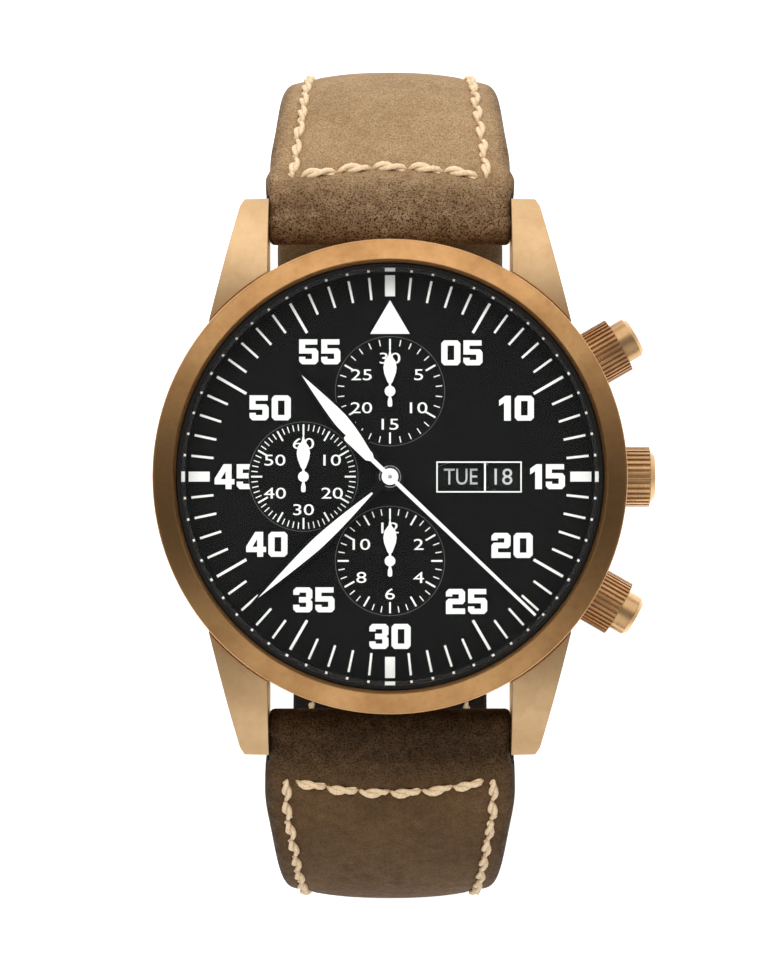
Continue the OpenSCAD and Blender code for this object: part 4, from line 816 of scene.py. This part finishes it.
def lowRound(x, half):
    edge = strap["lowEdge"]
    return edge * quarterRound(np.clip((np.abs(x) - (half - edge)) / edge, 0, 1))


def lowHeight(x, half, s):
    # the inner face: flat, with a smaller round along both edges
    return -thickness(s) / 2 + lowRound(x, half)


# places across the width, closer together towards the edges
shares = np.sin(np.linspace(-np.pi / 2, np.pi / 2, strap["columns"]))


def spread(side, s, less=0.0):
    # the path at lengths s, the half widths there and the places across them
    path = pathArrays(side, s)
    half = tipWidth(side, halfWidth(side, path[1], s), s) - less
    return path, half, shares[None, :] * half[:, None]


def beside(x, path, off):
    # points at x across the strap, off its middle line by a height
    y, z, cy, cz = (v[:, None] for v in path)
    return np.stack([x, y - off * cz, z + off * cy], -1)


def turnRound(center, radius, x, degrees):
    # rows of points round a bar, in the strap's side view
    a = np.radians(degrees)[:, None]
    return np.stack([np.broadcast_to(x, (len(a), len(x))), center[0] + radius * np.cos(a) + 0 * x,
                     center[1] + radius * np.sin(a) + 0 * x], -1)


def closedFaces(rows, topCount, lowStart):
    # the skin's quads, strips that close both edges, and one face at each round end
    n, cols = rows.shape[:2]
    i = np.arange(topCount - 1)
    low = lowStart + topCount - 1 - i
    quads, ends = [gridFaces(n, cols, wrapRows=True)[:, ::-1]], []
    for col, flip in ((0, True), (cols - 1, False)):
        q = np.stack([i, i + 1, low - 1, low], -1) * cols + col
        quads.append(q[:, ::-1] if flip else q)
        for ring in (np.arange(topCount - 1, lowStart + 1), np.r_[np.arange(lowStart + topCount - 1, n), 0]):
            if len(ring) > 2:
                ring = ring * cols + col
                ends.append((ring[::-1] if flip else ring).tolist())
    return np.vstack(quads), ends


def leatherShell(name, side):
    # one outline over the top, round the bar, back under and round the pin, carried across the width
    length, tip, r = side["length"], side["mirrored"], rowsOf
    s = np.r_[np.linspace(length, r["closeFrom"], r["sparse"], endpoint=False),
              np.linspace(r["closeFrom"], 0, r["close"])]
    path, half, x = spread(side, s)
    sCol, halfCol = s[:, None], half[:, None]
    top = topHeight(side, x, halfCol, sCol)
    lined = (sCol > strap["liningFrom"]) & (sCol < (length + 1 if tip else length - strap["liningShort"]))
    low = np.minimum(lowHeight(x, halfCol, sCol) + np.where(lined, strap["lining"] - 0.02, 0.0), top - 0.25)
    rows = [beside(x, path, top)]
    atBar = np.linspace(90, 270, r["bar"])[1:-1] + side["start"][2]
    rows.append(turnRound(strap["bar"], strap["rollRadius"] - lowRound(x[-1], half[-1]), x[-1], atBar))
    rows.append(beside(x, path, low)[::-1])
    if not tip:
        pinRadius = strap["thin"] / 2 + strap["pinGap"] - np.where(np.abs(shares) > 0.97, 0.25, 0.0)
        atPin = np.linspace(90, -90, r["pin"])[1:-1] - 180
        rows.append(turnRound((strap["pin"], strap["loop"]), pinRadius, x[0], atPin))
    topCount, lowStart = len(rows[0]), len(rows[0]) + len(rows[1])
    rows = np.concatenate(rows)
    quads, ends = closedFaces(rows, topCount, lowStart)
    # darker colour per point: painted shade with wear fading from the roll and worn edges on top, full painted shade
    # round the bar and most of it underneath
    topRubAndShade = np.maximum(1 - smooth(sCol, *rubAndShade["roll"]), rubAndShade["edge"] * hump(halfCol - np.abs(x), rubAndShade["edgeWide"]))
    cols = x.shape[1]
    rubAndShadeRows = [topRubAndShade, np.ones((lowStart - topCount, cols)), np.full((len(rows) - lowStart, cols), rubAndShade["under"])]
    piece = addMesh(name, rows.reshape(-1, 3), quads, side["leather"], ends, side["mirrored"])
    rubbedAndShaded = piece.data.attributes.new("burnishAndShade", "FLOAT", "POINT")
    rubbedAndShaded.data.foreach_set("value", np.vstack(rubAndShadeRows).ravel())
    return piece


def liningShell(name, side):
    # the thin inner layer, from just past the roll to just short of the end, pressed in along the stitches
    end = side["length"] - (0.02 if side["mirrored"] else strap["liningShort"])
    s = np.linspace(strap["liningFrom"], end, rowsOf["lining"])
    path, half, x = spread(side, s, 0.02)
    sCol, halfCol = s[:, None], half[:, None]
    outer = -thickness(sCol) / 2 + strap["lining"] + 0 * x
    inner = lowHeight(x, halfCol, sCol) + 0.12 * hump(np.abs(x) - (halfCol - side["inset"]), 0.4)
    rows = np.concatenate([beside(x, path, outer), beside(x, path, np.minimum(inner, outer - 0.1))[::-1]])
    quads, ends = closedFaces(rows, len(s), len(s))
    return addMesh(name, rows.reshape(-1, 3), quads, "lining", ends, side["mirrored"])


def cutHoles(piece, side, grow=0.0):
    # the tongue's holes along the long piece, the one in use drawn long
    inUse = side["runs"][6] - cuts["back"]
    n, deep, radius = cuts["sides"], cuts["deep"], cuts["radius"] + grow
    a = np.linspace(0, 2 * np.pi, n, endpoint=False)
    i = np.arange(n)
    wall = np.stack([i, (i + 1) % n, n + (i + 1) % n, n + i], -1)[:, ::-1]
    points, polys = [], []
    for k in range(cuts["first"], cuts["last"] + 1):
        y, z, cy, cz = (float(v[0]) for v in pathArrays(side, np.array([inUse + k * cuts["pitch"]])))
        reach = np.sin(a) * radius
        if k == 0:
            reach = reach + np.where(reach > 0, cuts["slotLength"] - cuts["slotBack"] - cuts["radius"],
                                     cuts["radius"] - cuts["slotBack"])
        ring = np.c_[np.cos(a) * radius, y + reach * cy, z + reach * cz]
        base = len(points) * n
        points += [ring + np.array([0, -deep * cz, deep * cy]), ring - np.array([0, -deep * cz, deep * cy])]
        polys += (wall + base).tolist() + [(i + base).tolist(), (i[::-1] + n + base).tolist()]
    carve(piece, np.vstack(points) * np.array([1, -1, 1]), polys)


def cutNotch(piece):
    # room for the tongue round its bar
    wide, deep, high = cuts["notch"]
    low = np.array([-wide / 2, strap["pin"] - cuts["notchFrom"], strap["loop"] - high / 2])
    corner = np.array([[i, j, k] for k in (0, 1) for j in (0, 1) for i in (0, 1)])
    points = low + corner * np.array([wide, deep, high])
    carve(piece, points, [[0, 2, 3, 1], [4, 5, 7, 6], [0, 1, 5, 4], [2, 6, 7, 3], [0, 4, 6, 2], [1, 3, 7, 5]])


def unit(v):
    return v / np.linalg.norm(v, axis=-1, keepdims=True)


def threadMesh(points, normals, count):
    # stitches between even holes: two strands coiled round each other, their ends diving into the leather
    st = stitch
    run = np.r_[0, np.cumsum(np.linalg.norm(np.diff(points, axis=0), axis=1))]
    step = run[-1] / count
    u = np.linspace(-0.5, 0.5, st["rings"])
    reach = (step - st["gap"]) * (1 + rng.normal(0, st["vary"], count))
    at = ((np.arange(count) + 0.5) * step)[:, None] + u[None, :] * reach[:, None]
    p = np.stack([np.interp(at, run, points[:, k]) for k in range(3)], -1)
    n = unit(np.stack([np.interp(at, run, normals[:, k]) for k in range(3)], -1))
    aside = unit(np.cross(np.gradient(p, axis=1), n))
    slant = st["slant"][0] + rng.normal(0, st["slant"][1], count)
    p = p + n * (st["rise"] * np.clip(np.cos(np.pi * u), 0, 1) ** 0.5 - st["sink"])[None, :, None]
    p = p + aside * (slant[:, None] * np.sin(np.pi * u)[None, :])[..., None]
    turned = 2 * np.pi * st["turns"] * u[None, :] + rng.uniform(-st["spin"], st["spin"], count)[:, None]
    # the strands draw together and thin towards both ends
    close = (st["coil"] * (1 - 0.5 * np.abs(2 * u) ** 4))[None, :, None]
    r = (st["strand"] * (1 - 0.4 * np.abs(2 * u) ** 6))[None, :, None, None]
    a = np.linspace(0, 2 * np.pi, st["around"], endpoint=False)[:, None]
    strands = []
    for half in (0, np.pi):
        core = p + (np.cos(turned + half)[..., None] * aside + np.sin(turned + half)[..., None] * n) * close
        along = unit(np.gradient(core, axis=1))
        across = unit(np.cross(along, n))
        up = np.cross(across, along)
        strands.append(core[:, :, None, :] + r * (np.cos(a) * across[:, :, None, :] + np.sin(a) * up[:, :, None, :]))
    ring = np.concatenate(strands)
    each = st["rings"] * st["around"]
    base = np.arange(len(ring)) * each
    quads = (gridFaces(st["rings"], st["around"], wrapCols=True)[None] + base[:, None, None]).reshape(-1, 4)
    caps = np.vstack([base[:, None] + np.arange(st["around"]),
                      base[:, None] + np.arange(each - 1, each - 1 - st["around"], -1)]).tolist()
    return ring.reshape(-1, 3), quads, caps


def strapThread(name, side, outside):
    # two lines along the edges and the row across that closes the roll
    last = side["length"] - side["threadShort"]
    lines = []
    for sign in (-1, 1):
        row = crossRow(side, strap["halfTop"] - side["inset"])
        s = np.linspace(row, last, 400)
        half = halfWidth(side, pathArrays(side, s)[1], s)
        lines.append((s, sign * (half - side["inset"]), round((last - row) / stitch["pitch"])))
    x = np.linspace(-1, 1, 80) * (strap["halfTop"] - side["inset"] - stitch["rowShort"])
    lines.append((crossRow(side, x), x, side["row"]))
    points, quads, caps, base = [], [], [], 0
    way = 1 if outside else -1
    for s, x, count in lines:
        y, z, cy, cz = pathArrays(side, s)
        half = halfWidth(side, z, s)
        off = topHeight(side, x, half, s) if outside else lowHeight(x, half, s) + stitch["under"]
        line = np.stack([x, y - off * cz, z + off * cy], -1)
        p, q, c = threadMesh(line, np.stack([0 * y, -cz * way, cy * way], -1), count)
        points.append(p)
        quads.append(q + base)
        caps += [[i + base for i in cap] for cap in c]
        base += len(p)
    return addMesh(name, np.vstack(points), np.vstack(quads), "thread", caps, side["mirrored"])


def power(v, k):
    return np.sign(v) * np.abs(v) ** k


def keeperBand(name, setDown):
    # a rounded bar carried round a superellipse that holds both layers
    clear, wall = keepers["clear"], keepers["wall"]
    half, high = strap["widthEnd"] / 2 + clear, strap["thin"] / 2 + clear
    low = -tailDrop - strap["thin"] / 2 - clear
    a = np.linspace(0, 2 * np.pi, keepers["round"], endpoint=False)
    b = np.linspace(0, 2 * np.pi, keepers["across"], endpoint=False)
    cx = power(np.cos(a), keepers["corner"]) * (half + wall / 2)
    cz = power(np.sin(a), keepers["corner"]) * ((high - low) / 2 + wall / 2) + (high + low) / 2
    tx, tz = np.roll(cx, -1) - np.roll(cx, 1), np.roll(cz, -1) - np.roll(cz, 1)
    long = np.hypot(tx, tz)
    out = power(np.sin(b), keepers["soft"]) * wall / 2
    along = power(np.cos(b), keepers["soft"])[None, :] * keepers["wide"] / 2 + 0 * cx[:, None]
    points = np.stack([cx[:, None] + (tz / long)[:, None] * out, along, cz[:, None] - (tx / long)[:, None] * out], -1)
    return addMesh(name, setDown(points.reshape(-1, 3)), gridFaces(len(a), len(b), True, True), "brownNubuck")


def atFixed(p):
    return p + np.array([0, keepers["fixedAt"], strap["loop"]])


def atFree(p):
    # on the loop's turn, at an angle round its centre
    a = math.radians(keepers["freeTurn"])
    y, z = p[:, 1], p[:, 2] - twelveR
    return np.c_[p[:, 0], turnY + y * math.cos(a) - z * math.sin(a), turnZ + y * math.sin(a) + z * math.cos(a)]


twelveLeather = leatherShell("twelveLeather", sides["twelve"])
sixLeather = leatherShell("sixLeather", sides["six"])
twelveLining = liningShell("twelveLining", sides["twelve"])
sixLining = liningShell("sixLining", sides["six"])
cutNotch(twelveLeather)
cutHoles(sixLeather, sides["six"])
cutHoles(sixLining, sides["six"], cuts["liningGrow"])
fixedKeeper = keeperBand("fixedKeeper", atFixed)
freeKeeper = keeperBand("freeKeeper", atFree)
threads = [strapThread(name, sides[which], outside) for name, which, outside in (
    ("twelveThread", "twelve", True), ("sixThread", "six", True), ("twelveInnerThread", "twelve", False),
    ("sixInnerThread", "six", False))]
for piece, node, body, slotName in (
        (twelveLeather, "strap_twelve", "case", "leather_tan"), (sixLeather, "strap_six", "case", "leather_brown"),
        (twelveLining, "lining_twelve", "case", "leather_lining"), (sixLining, "lining_six", "case", "leather_lining"),
        (fixedKeeper, "fixed_keeper", "case", "leather_brown"), (freeKeeper, "free_keeper", "keeper", "leather_brown")):
    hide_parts(node)
    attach(piece, body)
for piece in threads:
    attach(piece, "case")
print("strap")
